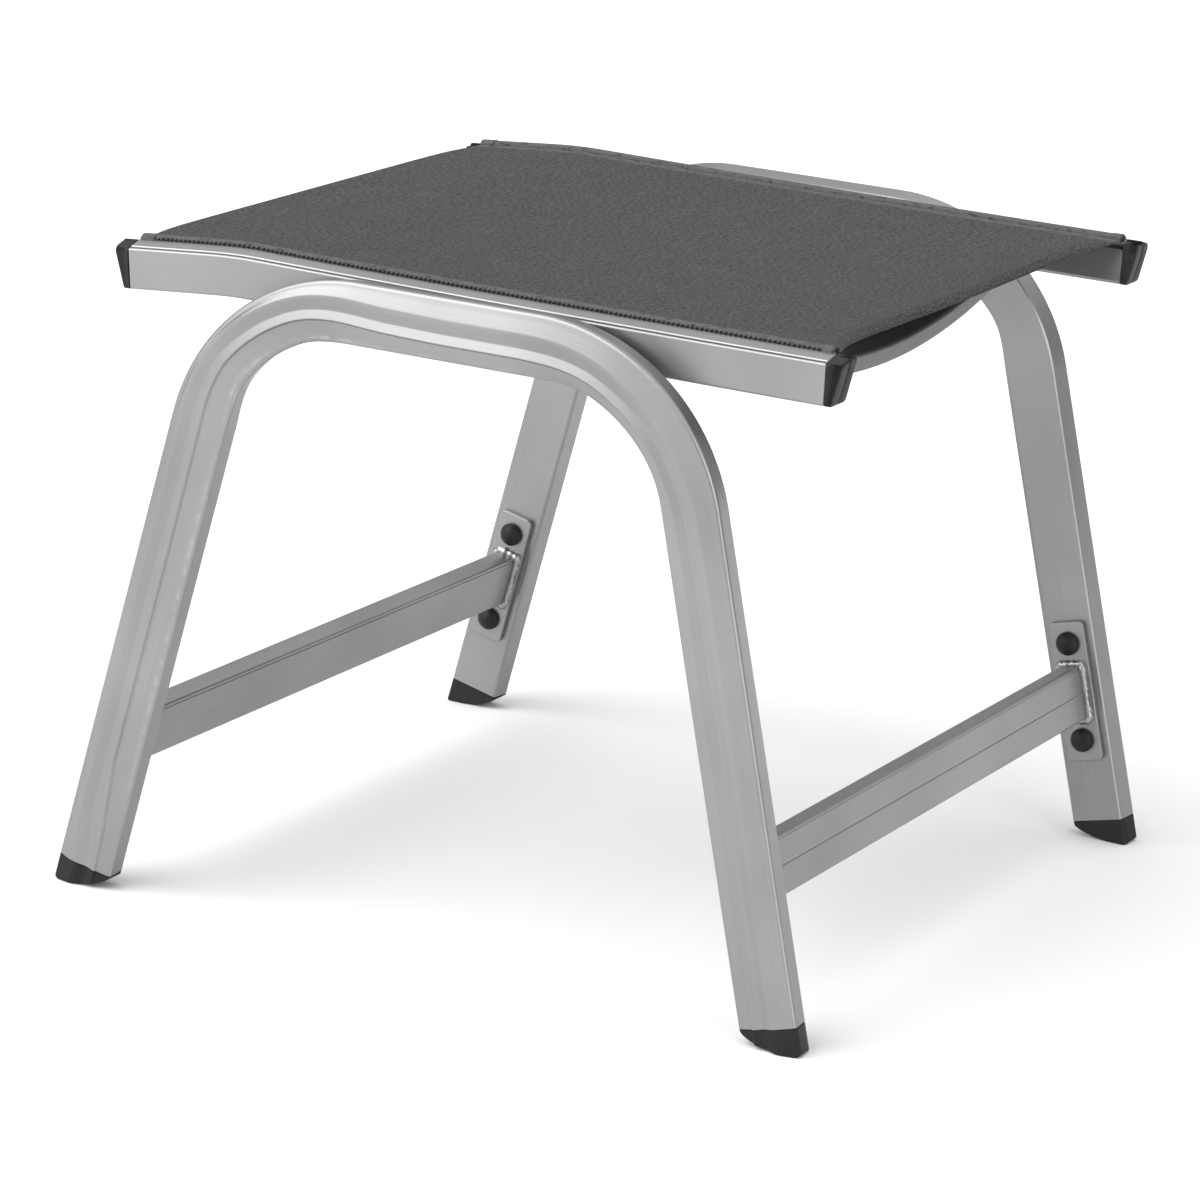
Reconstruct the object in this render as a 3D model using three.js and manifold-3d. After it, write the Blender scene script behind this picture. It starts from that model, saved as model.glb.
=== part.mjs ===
// Outdoor footstool: two bent aluminium leg frames, two stretchers and a stretched fabric seat.
// Millimetres, +Z up. X runs along the seat rails, -Y is the front frame, the ground is z = 0.
import * as THREE from 'three';
import { mergeVertices } from 'three/addons/utils/BufferGeometryUtils.js';
import Module from 'manifold-3d';

const wasm = await Module();
wasm.setup();

// Fits
const gap = 0.3; // between any two pieces that touch
const overrun = 3; // how far a cutting tool runs past what it cuts

// Leg frames
const frameSpread = 480; // front crest of the front frame to back crest of the back frame, at the feet
const footSpread = 457.2; // left to right between the middles of a frame's two ends
const frameHeight = 379.6; // ends to the top of the top bar, up the frame's own plane
const legLean = THREE.MathUtils.degToRad(13.6); // legs lean in towards the top bar
const frameTilt = THREE.MathUtils.degToRad(0.77); // both frames lean in towards each other
const kneeRadius = 104.9; // of the tube's middle line
const kneeDrawShare = 0.06; // of the width, by which the bend draws in the inner side

// Leg profile: flat back, sides that spread to a rolled lip, shallow valley, groove and slanted strip
const profileWidth = 36.9;
const profileDepth = 19;
const profileWall = 2;
const profileCorner = 1.6;
const profileEdge = 1.5; // round between the slanted strip and the inner side
const backOuterShare = 0.058; // shares of the width by which the back falls short of the sides
const backInnerShare = 0.035;
const lipDepthShare = 0.82; // shares of the depth
const rollShare = 0.97;
const rollMiddleDepthShare = 0.94;
const valleyDepthShare = 0.93;
const ridgeDepthShare = 0.965;
const grooveDepthShare = 0.865;
const stripDepthShare = 0.85;
const innerSideShare = 0.8;
const rollPlaceShare = 0.03; // shares of the width, from the outer edge
const rollMiddleShare = 0.09;
const crestShare = 0.3;
const valleyShare = 0.53;
const ridgeShare = 0.68;
const grooveShare = 0.73;
const stripShare = 0.87;
const rollTurn = THREE.MathUtils.degToRad(73); // the way the rolled edge's middle faces

// Foot caps
const footHeight = 13; // middle of a frame's end above the ground
const footSpigot = 22;
const footPlugWall = 1.8; // the spigot is hollow
const footFlat = 9.4; // length of the face on the ground
const footFlatShift = 12.7; // its middle, outwards from the middle of the frame's end
const footHeelRise = 9.5; // height at which the long inner curve starts
const footHeelRunShare = 0.868; // shares of the run and the rise where the inner curve bends most
const footHeelRiseShare = 0.274;
const footToeRise = 6.5; // height at which the short outer curve starts
const footHeelRun = 26.5;
const footToeRun = 4.4;

// Seat rails
const railLength = 449.9;
const railShift = 0.75; // rails sit this much to the right of the frames' middle
const railStandoff = 4.7; // the spacers on the frame screws keep the rails off the frames
const railWidth = 19;
const railHeight = 27.5; // underside to the outer lip of the slot
const railWall = 2;
const railShoulderFall = 3.1; // ridge on the outer face below the lip
const railOuterRadius = 2;
const railInnerRadius = 3;
const chamberRadius = 0.8; // corners of the rail's hollow
const railCrestDrop = 26.8; // underside at the crest, below the top of the leg frames
const railCrestShare = 0.18; // of the length, from the left end
const railFall = 2.75; // from the crest to the right end
const railEndSlopeShare = 0.084; // of the run, down to the left end
const railCrestBlend = 25;
const channelRadius = 3.4;
const channelInset = 5.5; // middle of the channel from the rail's inner face
const channelRoof = 2.3; // least height of metal over the channel
const slotWidth = 3;
const innerLipDrop = 1.5; // inner lip below the outer one

// Rail end caps
const railCapReach = 9.5; // beyond the metal at the top
const railCapToe = 3.5; // beyond the metal at the bottom
const railCapSpigot = 15;
const railCapRound = 1.6; // how far the end face is drawn in all round
const railCapRingShares = [[0, 0], [0.75, 0], [0.93, 0.35], [1, 1]]; // of the reach and of the round

// Seat fabric
const slingSetback = 1; // short of the rails' metal at both ends
const slingLeftBow = 9; // free edges: the left one's middle bows out past its corners
const slingRightBow = 12; // and the right one's bows in
const clothThickness = 1.2;
const slingSag = 3; // none at the left free edge
const bandCrown = 3.2; // welt along each rail, over the outer lip
const bandWidth = 6.5;
const hemWidth = 12;
const hemThickness = 0.8;
const hemDroop = 3.5; // of the right hem's free edge
const rodRadius = 1.7;
const rodSetback = 2.5; // rods and loops end inside the rails

// Spreader bars under the seat
const spreaderInset = 61; // outer face from the end of the rails' metal
const spreaderWidth = 20;
const spreaderHeight = 12;
const spreaderWall = 1.5;
const spreaderCorner = 3;
const spreaderDip = 12; // top face at the middle, below the rails' underside
const spreaderRadius = 535;

// Stretchers between the front and back legs
const stretcherWidth = 14;
const stretcherHeight = 34.2;
const stretcherWall = 1.6;
const stretcherCorner = 1.5;
const stretcherPlace = 84.9; // middle, up the leg from the frame's end
const stretcherInset = 0.8; // middle, inwards of the leg's middle line
const stretcherGroove = 1.6;
const stretcherGrooveDepth = 0.7;

// Plates that hold the stretchers to the legs
const platePlace = 85; // middle, up the leg from the frame's end
const plateLength = 90;
const plateWidth = 23.6;
const plateThickness = 3.5;
const plateCorner = 3.5;
const weldWidth = 2; // bead round the stretcher's end
const weldHeight = 2.4;

// Fasteners
const boltSpread = 62.5;
const boltRadius = 3;
const boltHeadRadius = 5.2;
const boltHeadHeight = 3.4;
const nutRadius = 6;
const nutHeight = 5;
const boltTail = 1.5; // thread standing past the nut
const capRadius = 7.5;
const capRim = 1.8; // straight side of a bolt cap
const capWall = 1.9;
const screwSpread = 120; // left to right between a rail's two screws
const screwRise = 9; // above the rail's underside
const screwHeadRadius = 5.5;
const screwHeadHeight = 3;
const spacerRadius = 8;

// Counts
const kneeSteps = 12;
const curveSteps = 3;
const roundSides = 10;
const holeSides = 12;
const domeSteps = 3;
const nutSides = 6;
const domeSides = 16;
const channelSides = 8;
const rodSides = 8;
const railSteps = 8;
const sheetSteps = 6;
const spreaderSteps = 10;

// Materials
const finish = {
  aluminium: { color: 0xb9babb, roughness: 0.38, metalness: 1 },
  cloth: { color: 0x59595a, roughness: 0.9, metalness: 0 },
  plastic: { color: 0x2c2c2d, roughness: 0.6, metalness: 0 },
  steel: { color: 0x9c9ea0, roughness: 0.35, metalness: 1 },
};

function meshOf(name, geometry, finishName) {
  geometry.computeVertexNormals();
  const mesh = new THREE.Mesh(geometry, new THREE.MeshStandardMaterial(finish[finishName]));
  mesh.name = name;
  return mesh;
}

// Evenly spaced values, both ends included
function spread(from, to, steps) {
  return Array.from({ length: steps + 1 }, (_, i) => from + ((to - from) * i) / steps);
}

// Solids for cutting and joining
function solidOf(geometry) {
  const bare = geometry.clone();
  bare.deleteAttribute('normal');
  bare.deleteAttribute('uv');
  const merged = mergeVertices(bare);
  const vertProperties = new Float32Array(merged.attributes.position.array);
  const triVerts = new Uint32Array(merged.index.array);
  return new wasm.Manifold(new wasm.Mesh({ numProp: 3, vertProperties, triVerts }));
}

function geometryOf(solid) {
  const mesh = solid.getMesh();
  const geometry = new THREE.BufferGeometry();
  geometry.setAttribute('position', new THREE.BufferAttribute(new Float32Array(mesh.vertProperties), 3));
  geometry.setIndex(new THREE.BufferAttribute(new Uint32Array(mesh.triVerts), 1));
  return geometry;
}

function cut(geometry, tools) {
  let solid = solidOf(geometry);
  for (const tool of tools) {
    solid = solid.subtract(solidOf(tool));
  }
  return geometryOf(solid);
}

// Turns a closed geometry's faces outwards
function faceOut(geometry) {
  const place = geometry.attributes.position;
  const a = new THREE.Vector3();
  const b = new THREE.Vector3();
  const c = new THREE.Vector3();
  let volume = 0;
  for (let i = 0; i < place.count; i += 3) {
    a.fromBufferAttribute(place, i);
    b.fromBufferAttribute(place, i + 1);
    c.fromBufferAttribute(place, i + 2);
    volume += a.dot(b.cross(c));
  }
  if (volume < 0) {
    for (let i = 0; i < place.count; i += 3) {
      a.fromBufferAttribute(place, i);
      c.fromBufferAttribute(place, i + 2);
      place.setXYZ(i, c.x, c.y, c.z);
      place.setXYZ(i + 2, a.x, a.y, a.z);
    }
  }
  return geometry;
}

// Carries a flat section through a row of stations; a station turns a section point into a place
function sweep(section, stations) {
  const steps = stations.length - 1;
  const options = { depth: steps, steps, curveSegments: curveSteps, bevelEnabled: false };
  const geometry = new THREE.ExtrudeGeometry(section, options);
  const place = geometry.attributes.position;
  for (let i = 0; i < place.count; i += 1) {
    const station = stations[Math.round(place.getZ(i))];
    const point = station(place.getX(i), place.getY(i));
    place.setXYZ(i, point.x, point.y, point.z);
  }
  return faceOut(geometry);
}

// A rod along Y between two places, with its middle line at x, z
function rodBetween(radius, y0, y1, x, z, sides) {
  const geometry = new THREE.CylinderGeometry(radius, radius, Math.abs(y1 - y0), sides);
  geometry.translate(x, (y0 + y1) / 2, z);
  return geometry;
}

// Straight steps along an arc, added to an outline; a full round is one arc that closes on its start
function addArc(outline, x, y, radius, from, to, steps) {
  for (const angle of spread(from, to, steps)) {
    outline.lineTo(x + radius * Math.cos(angle), y + radius * Math.sin(angle));
  }
}

function roundOutline(x, y, radius, steps, OutlineClass) {
  const points = spread(0, Math.PI * 2, steps).slice(0, -1);
  return new OutlineClass(points.map((angle) => {
    return new THREE.Vector2(x + radius * Math.cos(angle), y + radius * Math.sin(angle));
  }));
}

function roundedRectangle(width, height, radius, OutlineClass) {
  const x = width / 2;
  const y = height / 2;
  const outline = new OutlineClass();
  outline.moveTo(radius - x, -y);
  outline.lineTo(x - radius, -y);
  outline.quadraticCurveTo(x, -y, x, radius - y);
  outline.lineTo(x, y - radius);
  outline.quadraticCurveTo(x, y, x - radius, y);
  outline.lineTo(radius - x, y);
  outline.quadraticCurveTo(-x, y, -x, y - radius);
  outline.lineTo(-x, radius - y);
  outline.quadraticCurveTo(-x, -y, radius - x, -y);
  return outline;
}

// Leg profile: x from its outer side to its inner side, y from its flat back to its front
function profileOutline() {
  const w = profileWidth;
  const d = profileDepth;
  const backOuter = w * backOuterShare;
  const backInner = w * (1 - backInnerShare);
  const outline = new THREE.Shape();
  outline.moveTo(backOuter + profileCorner, 0);
  outline.lineTo(backInner - profileCorner, 0);
  outline.lineTo(backInner, profileCorner);
  outline.lineTo(w, d * innerSideShare - profileEdge / 2);
  outline.lineTo(w - profileEdge, d * innerSideShare + profileEdge / 2);
  outline.quadraticCurveTo(w * stripShare, d * stripDepthShare, w * grooveShare, d * grooveDepthShare);
  outline.lineTo(w * ridgeShare, d * ridgeDepthShare);
  outline.lineTo(w * valleyShare, d * valleyDepthShare);
  outline.lineTo(w * crestShare, d);
  outline.quadraticCurveTo(w * rollPlaceShare, d * rollShare, 0, d * lipDepthShare);
  outline.lineTo(backOuter, profileCorner);
  return outline;
}

// Same profile drawn in by an inset, with fewer corners: the tube's bore and the plugs that fit it
function boreOutline(inset, OutlineClass) {
  const w = profileWidth;
  const d = profileDepth;
  const outline = new OutlineClass();
  outline.moveTo(w * backOuterShare + inset, inset);
  outline.lineTo(w * (1 - backInnerShare) - inset, inset);
  outline.lineTo(w - inset, d * innerSideShare - inset / 2);
  outline.lineTo(w * grooveShare, d * grooveDepthShare - inset);
  outline.lineTo(w * crestShare, d * valleyDepthShare - inset);
  outline.lineTo(
    w * rollMiddleShare + inset * Math.cos(rollTurn),
    d * rollMiddleDepthShare - inset * Math.sin(rollTurn),
  );
  outline.lineTo(inset, d * lipDepthShare - inset / 2);
  outline.lineTo(w * backOuterShare + inset, inset);
  return outline;
}

// Leg frame in its own plane: x across, z up from the ends, y = 0 at the crest, +y to the seat
const barPlace = frameHeight - profileWidth / 2;
const kneeHeight = barPlace - kneeRadius;
const legNormal = (footSpread / 2) * Math.cos(legLean) - kneeRadius - kneeHeight * Math.sin(legLean);
const kneePlace = legNormal / Math.cos(legLean);

function frameStation(x, z, turn, bend) {
  // turn is the angle of the outward direction, from +X; bend is 1 well inside a knee and 0 outside it
  const out = new THREE.Vector3(Math.cos(turn), 0, Math.sin(turn));
  const narrow = 1 - kneeDrawShare * bend;
  return (u, n) => {
    const place = new THREE.Vector3(x, profileDepth - n, z);
    return place.addScaledVector(out, profileWidth / 2 - u * narrow);
  };
}

function frameStations() {
  const stations = [frameStation(footSpread / 2, 0, legLean, 0)];
  for (const hand of [1, -1]) {
    for (let i = 0; i <= kneeSteps; i += 1) {
      const share = hand > 0 ? i / kneeSteps : 1 - i / kneeSteps;
      const angle = legLean + (Math.PI / 2 - legLean) * share;
      const turn = hand > 0 ? angle : Math.PI - angle;
      const x = hand * kneePlace + kneeRadius * Math.cos(turn);
      const z = kneeHeight + kneeRadius * Math.sin(turn);
      stations.push(frameStation(x, z, turn, Math.sqrt(Math.sin(share * Math.PI))));
    }
  }
  stations.push(frameStation(-footSpread / 2, 0, Math.PI - legLean, 0));
  return stations;
}

// Heights of the two bolts of a plate, up the leg
const boltPlaces = [platePlace - boltSpread / 2, platePlace + boltSpread / 2];

function legFrameGeometry(flip) {
  const section = profileOutline();
  section.holes.push(boreOutline(profileWall, THREE.Path));
  const inside = profileDepth - profileWall - overrun;
  const outside = profileDepth + overrun;
  const tools = [];
  for (const hand of [-1, 1]) {
    for (const place of boltPlaces) {
      const x = hand * (footSpread / 2 - place * Math.sin(legLean));
      tools.push(rodBetween(boltRadius + gap, inside, outside, x, place * Math.cos(legLean), holeSides));
    }
    const screwX = (hand * screwSpread) / 2;
    tools.push(rodBetween(boltRadius + gap, inside, outside, screwX, screwPlace(screwX * flip), holeSides));
  }
  return cut(sweep(section, frameStations()), tools);
}

// Height of the rails' underside, which rises to a crest near the left end
const railLeft = railShift - railLength / 2;
const railRight = railShift + railLength / 2;
const railCrest = railLeft + railLength * railCrestShare;
const frameTop = footHeight + frameHeight * Math.cos(frameTilt);

function railUnderside(x) {
  const top = frameTop - railCrestDrop;
  if (x > railCrest) {
    const share = (railRight - x) / (railRight - railCrest);
    return top - railFall * (1 - share * share);
  }
  const run = railCrest - x;
  if (run < railCrestBlend) {
    return top - (railEndSlopeShare * run * run) / (2 * railCrestBlend);
  }
  return top - railEndSlopeShare * (run - railCrestBlend / 2);
}

// Steepness of the rails, whose sections stand square to it
function railSlope(x) {
  if (x > railCrest) {
    return (-2 * railFall * (railRight - x)) / (railRight - railCrest) ** 2;
  }
  return railEndSlopeShare * Math.min((railCrest - x) / railCrestBlend, 1);
}

// Height of a screw's hole in the frame's own plane
function screwPlace(x) {
  const rise = railUnderside(x) + screwRise - footHeight;
  return (rise + profileDepth * Math.sin(frameTilt)) / Math.cos(frameTilt);
}

// Distance of the frames' flat backs from the middle plane, at a height above the ground
function backFace(height, depth) {
  return frameSpread / 2 - depth / Math.cos(frameTilt) - (height - footHeight) * Math.tan(frameTilt);
}
const railOuter = backFace(frameTop - profileCorner, profileDepth) - railStandoff;
const railInner = railOuter - railWidth;

// Rail section: x inwards from the outer face, y up from the underside
const channelPlace = railWidth - channelInset;
const channelHeight = railHeight - channelRoof - channelRadius;
const slotReach = Math.sqrt(channelRadius ** 2 - (slotWidth / 2) ** 2);
const slotAngle = Math.asin(slotReach / channelRadius);
const innerLip = railHeight - innerLipDrop;
const slotOuter = channelPlace - slotWidth / 2;
const slotInner = channelPlace + slotWidth / 2;

function railOutline(hasChannel) {
  const outline = new THREE.Shape();
  outline.moveTo(railOuterRadius, 0);
  outline.lineTo(railWidth - railInnerRadius, 0);
  outline.quadraticCurveTo(railWidth, 0, railWidth, railInnerRadius);
  outline.lineTo(railWidth, innerLip);
  if (hasChannel) {
    outline.lineTo(slotInner, innerLip);
    const turn = [slotAngle, -Math.PI - slotAngle];
    addArc(outline, channelPlace, channelHeight, channelRadius, ...turn, channelSides);
  } else {
    outline.lineTo(slotOuter, innerLip);
  }
  outline.lineTo(slotOuter, railHeight);
  outline.lineTo(0, railHeight - railShoulderFall);
  outline.lineTo(0, railOuterRadius);
  outline.quadraticCurveTo(0, 0, railOuterRadius, 0);
  return outline;
}

// The rail's hollow, drawn in by an inset
function chamberOutline(inset, OutlineClass) {
  const roof = channelHeight - channelRadius - inset;
  const side = channelPlace - channelRadius - inset;
  const outline = new OutlineClass();
  const corner = inset + chamberRadius;
  outline.moveTo(corner, inset);
  outline.lineTo(railWidth - corner, inset);
  outline.lineTo(railWidth - inset, corner);
  outline.lineTo(railWidth - inset, roof);
  outline.lineTo(side, roof);
  outline.lineTo(side, railHeight - railShoulderFall - inset);
  outline.lineTo(inset, railHeight - railShoulderFall - inset);
  outline.lineTo(inset, corner);
  outline.lineTo(corner, inset);
  return outline;
}

// Places along the rails, closer together round the crest
function seatPlaces(left, right) {
  const blend = railCrest - railCrestBlend;
  const places = [left, ...spread(blend, railCrest, 2)];
  places.push(...spread(railCrest, right, railSteps).slice(1));
  return places;
}

function seatPoint(x, y, h) {
  return new THREE.Vector3(x - railSlope(x) * h, y, railUnderside(x) + h);
}

function railStation(x, side) {
  return (q, h) => seatPoint(x, side * (railOuter - q), h);
}

function railGeometry(side) {
  const section = railOutline(true);
  section.holes.push(chamberOutline(railWall, THREE.Path));
  const stations = seatPlaces(railLeft, railRight).map((x) => railStation(x, side));
  const tools = [];
  for (const hand of [-1, 1]) {
    const x = (hand * screwSpread) / 2;
    const z = railUnderside(x) + screwRise;
    const from = side * (railInner - overrun);
    const to = side * (railOuter + overrun);
    tools.push(rodBetween(boltRadius + gap, from, to, x, z, holeSides));
  }
  return cut(sweep(section, stations), tools);
}

// Rail end cap: the rail's outline drawn out to a slanted end face, on a spigot in the hollow
function railCapGeometry(side, hand) {
  const metal = hand > 0 ? railRight : railLeft;
  const reachAt = (h) => railCapReach - (railCapReach - railCapToe) * (1 - h / railHeight) ** 2;
  const rings = railCapRingShares.map(([reachShare, roundShare]) => (q, h) => {
    const draw = 2 * railCapRound * roundShare;
    const x = metal + hand * (gap + (reachAt(h) - gap) * reachShare);
    const drawnQ = q + (railWidth / 2 - q) * (draw / railWidth);
    const drawnH = h + (railHeight / 2 - h) * (draw / railHeight);
    return seatPoint(x, side * (railOuter - drawnQ), drawnH);
  });
  const body = solidOf(sweep(railOutline(false), rings));
  const plug = sweep(chamberOutline(railWall + gap, THREE.Shape), [
    railStation(metal - hand * railCapSpigot, side),
    railStation(metal + (hand * railCapToe) / 2, side),
  ]);
  return geometryOf(body.add(solidOf(plug)));
}

// Keder rod, a round cord held in each rail's channel
function rodGeometry(side) {
  const section = roundOutline(channelPlace, channelHeight, rodRadius, rodSides, THREE.Shape);
  const places = seatPlaces(railLeft + rodSetback, railRight - rodSetback);
  return sweep(section, places.map((x) => railStation(x, side)));
}

// Fabric: a loop round each rod, a neck up each slot, a welt on the inner lip and one sagging sheet.
// Section x is Y, section y is the height above the rails' underside.
const clothTop = innerLip + gap + clothThickness;
const clothEdge = railInner - clothThickness;

function clothHeight(y) {
  const share = y / clothEdge;
  return clothTop - slingSag * (1 - share * share);
}

function slingOutline() {
  const loopRadius = channelRadius - gap;
  const neck = slotWidth / 2 - gap;
  const neckAngle = Math.acos(neck / loopRadius);
  const loopTurn = [Math.PI - neckAngle, 2 * Math.PI + neckAngle];
  const middle = railOuter - channelPlace;
  const crown = railHeight + bandCrown;
  const weltOuter = middle + neck;
  const weltInner = weltOuter - bandWidth;
  const outline = new THREE.Shape();
  const points = spread(-clothEdge, clothEdge, sheetSteps);
  outline.moveTo(points[0], clothHeight(points[0]) - clothThickness);
  for (const y of points.slice(1)) {
    outline.lineTo(y, clothHeight(y) - clothThickness);
  }
  // back edge, from under the welt round the loop and over the crown
  outline.lineTo(middle - neck, innerLip + gap);
  addArc(outline, middle, channelHeight, loopRadius, ...loopTurn, channelSides);
  outline.lineTo(weltOuter, railHeight + gap);
  outline.quadraticCurveTo(weltOuter, crown, (weltOuter + weltInner) / 2, crown);
  outline.quadraticCurveTo(weltInner, crown, clothEdge, clothTop);
  for (const y of points.slice(1, -1).reverse()) {
    outline.lineTo(y, clothHeight(y));
  }
  // front edge, the same the other way
  outline.lineTo(-clothEdge, clothTop);
  outline.quadraticCurveTo(-weltInner, crown, -(weltOuter + weltInner) / 2, crown);
  outline.quadraticCurveTo(-weltOuter, crown, -weltOuter, railHeight + gap);
  addArc(outline, -middle, channelHeight, loopRadius, ...loopTurn, channelSides);
  outline.lineTo(neck - middle, innerLip + gap);
  for (const side of [-1, 1]) {
    outline.holes.push(roundOutline(side * middle, channelHeight, rodRadius + gap, rodSides, THREE.Path));
  }
  return outline;
}

function slingGeometry() {
  const left = railLeft + slingSetback;
  const right = railRight - slingSetback;
  const step = hemWidth - clothThickness;
  const inner = seatPlaces(left + hemWidth, right - hemWidth).slice(1, -1);
  // rows along the rails, with the shift and the lift of their middles
  const rows = [
    [left, -slingLeftBow, slingSag],
    [left + step, -slingLeftBow, slingSag],
    [left + hemWidth, -slingLeftBow, slingSag],
    ...inner.map((x) => [x, 0, 0]),
    [right - hemWidth, -slingRightBow, 0],
    [right - step, -slingRightBow, 0],
    [right, -slingRightBow, -hemDroop],
  ];
  const stations = rows.map(([x, bow, lift]) => (y, h) => {
    const share = Math.max(1 - (y / clothEdge) ** 2, 0);
    const underHem = Math.abs(y) < clothEdge - gap && h < clothHeight(y) - clothThickness / 2;
    const isHem = x < left + hemWidth || x > right - hemWidth;
    return seatPoint(x + bow * share, y, h + lift * share - (underHem && isHem ? hemThickness : 0));
  });
  return sweep(slingOutline(), stations);
}

// Spreader bar: a bowed flat tube between the rails' inner faces
function spreaderGeometry(hand) {
  const middle = railShift + hand * (railLength / 2 - spreaderInset - spreaderWidth / 2);
  const top = railUnderside(middle) - spreaderDip - spreaderHeight / 2;
  const section = roundedRectangle(spreaderWidth, spreaderHeight, spreaderCorner, THREE.Shape);
  const bore = roundedRectangle(
    spreaderWidth - 2 * spreaderWall,
    spreaderHeight - 2 * spreaderWall,
    spreaderCorner - spreaderWall,
    THREE.Path,
  );
  section.holes.push(bore);
  const end = railInner - gap;
  const stations = spread(-end, end, spreaderSteps).map((y) => {
    const rise = spreaderRadius - Math.sqrt(spreaderRadius ** 2 - y ** 2);
    return (x, z) => new THREE.Vector3(middle + x, y, top + rise + z);
  });
  return sweep(section, stations);
}

// Leg's own axes: x across to the outer side, y to the seat, z up the leg from the frame's end
function sideMatrix() {
  const lean = new THREE.Matrix4().makeRotationX(-frameTilt);
  return new THREE.Matrix4().makeTranslation(0, -frameSpread / 2, footHeight).multiply(lean);
}

function legMatrix(hand) {
  const lean = new THREE.Matrix4().makeRotationY(-hand * legLean);
  return new THREE.Matrix4().makeTranslation((hand * footSpread) / 2, 0, 0).multiply(lean);
}

// Foot cap: the profile carried down to the ground, with a rounded heel and toe, and a hollow plug
function footCapGeometry(hand) {
  const station = (z) => (u, n) => new THREE.Vector3(hand * (profileWidth / 2 - u), profileDepth - n, z);
  const depth = footHeight + profileWidth * Math.sin(legLean);
  const body = solidOf(sweep(profileOutline(), [station(-depth), station(-gap)]));
  const plugOutline = boreOutline(profileWall + gap, THREE.Shape);
  const plug = sweep(plugOutline, [station(-depth / 2), station(footSpigot)]);
  const hollowInset = profileWall + gap + footPlugWall;
  const hollow = sweep(boreOutline(hollowInset, THREE.Shape), [station(0), station(footSpigot + overrun)]);
  const flatOuter = footFlatShift + footFlat / 2;
  const flatInner = footFlatShift - footFlat / 2;
  const reach = profileWidth;
  const sole = new THREE.Shape();
  sole.moveTo(flatInner, 0);
  sole.lineTo(flatOuter, 0);
  sole.quadraticCurveTo(flatOuter + footToeRun, 0, flatOuter + footToeRun, footToeRise);
  sole.lineTo(flatOuter + footToeRun, footHeight + reach);
  sole.lineTo(flatInner - footHeelRun, footHeight + reach);
  sole.lineTo(flatInner - footHeelRun, footHeelRise);
  const heelBend = flatInner - footHeelRun * footHeelRunShare;
  sole.quadraticCurveTo(heelBend, footHeelRise * footHeelRiseShare, flatInner, 0);
  const room = [-reach, reach].map((y) => (x, z) => {
    return new THREE.Vector3(hand * (footSpread / 2 + x), y - frameSpread / 2, z);
  });
  const ground = sweep(sole, room);
  ground.applyMatrix4(sideMatrix().multiply(legMatrix(hand)).invert());
  return geometryOf(body.intersect(solidOf(ground)).add(solidOf(plug)).subtract(solidOf(hollow)));
}

// Plate on the leg's flat back, with the weld bead that stands round the stretcher's end
const plateBack = profileDepth + gap;
const plateFront = plateBack + plateThickness;

function plateGeometry(hand) {
  const station = (y) => (x, z) => new THREE.Vector3(x, y, platePlace + z);
  const outline = roundedRectangle(plateWidth, plateLength, plateCorner, THREE.Shape);
  const plate = solidOf(sweep(outline, [station(plateBack), station(plateFront)]));
  const bead = (grow, OutlineClass) => roundedRectangle(
    stretcherWidth + 2 * grow,
    stretcherHeight + 2 * grow,
    stretcherCorner + grow,
    OutlineClass,
  );
  const beadStation = (y, draw) => (x, z) => {
    const shrink = 1 - draw / stretcherHeight;
    const place = new THREE.Vector3(x * shrink, y, z * shrink);
    return place.add(new THREE.Vector3(-hand * stretcherInset, 0, stretcherPlace));
  };
  const weld = sweep(bead(gap + weldWidth, THREE.Shape), [
    beadStation(plateFront - plateThickness / 2, 0),
    beadStation(plateFront + weldHeight / 2, 0),
    beadStation(plateFront + weldHeight, weldWidth),
  ]);
  const socket = sweep(bead(gap, THREE.Shape), [
    beadStation(plateFront, 0),
    beadStation(plateFront + weldHeight + overrun, 0),
  ]);
  let solid = plate.add(solidOf(weld)).subtract(solidOf(socket));
  for (const place of boltPlaces) {
    const ends = [plateBack - overrun, plateFront + overrun];
    const hole = rodBetween(boltRadius + gap, ...ends, 0, place, holeSides);
    solid = solid.subtract(solidOf(hole));
  }
  return geometryOf(solid);
}

// Turned pieces: y is the axis, and 0 is the seat that they stand on
function turned(points) {
  const geometry = new THREE.LatheGeometry(points.map(([r, y]) => new THREE.Vector2(r, y)), roundSides);
  return faceOut(geometry.toNonIndexed());
}

function boltGeometry(headRadius, headHeight, shank) {
  return turned([
    [0, -shank],
    [boltRadius - gap, -shank],
    [boltRadius, gap - shank],
    [boltRadius, 0],
    [headRadius, 0],
    [headRadius, headHeight / 2],
    [headRadius - headHeight / 3, headHeight],
    [0, headHeight],
  ]);
}

function nutGeometry() {
  const outline = roundOutline(0, 0, nutRadius, nutSides, THREE.Shape);
  outline.holes.push(roundOutline(0, 0, boltRadius + gap, roundSides, THREE.Path));
  return sweep(outline, [0, -nutHeight].map((y) => (x, z) => new THREE.Vector3(x, y, z)));
}

// Bolt cap: a hollow black dome snapped over a bolt's head
function boltCapGeometry() {
  const inner = boltHeadRadius + gap;
  const roof = boltHeadHeight + gap;
  const rise = roof + capWall - capRim;
  const dome = spread(0, Math.PI / 2, domeSteps).map((angle) => {
    return [capRadius * Math.cos(angle), capRim + rise * Math.sin(angle)];
  });
  return turned([[0, roof], [inner, roof], [inner, 0], [capRadius, 0], ...dome]);
}

const stool = new THREE.Group();
const handNames = { '-1': 'left', 1: 'right' };

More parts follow.
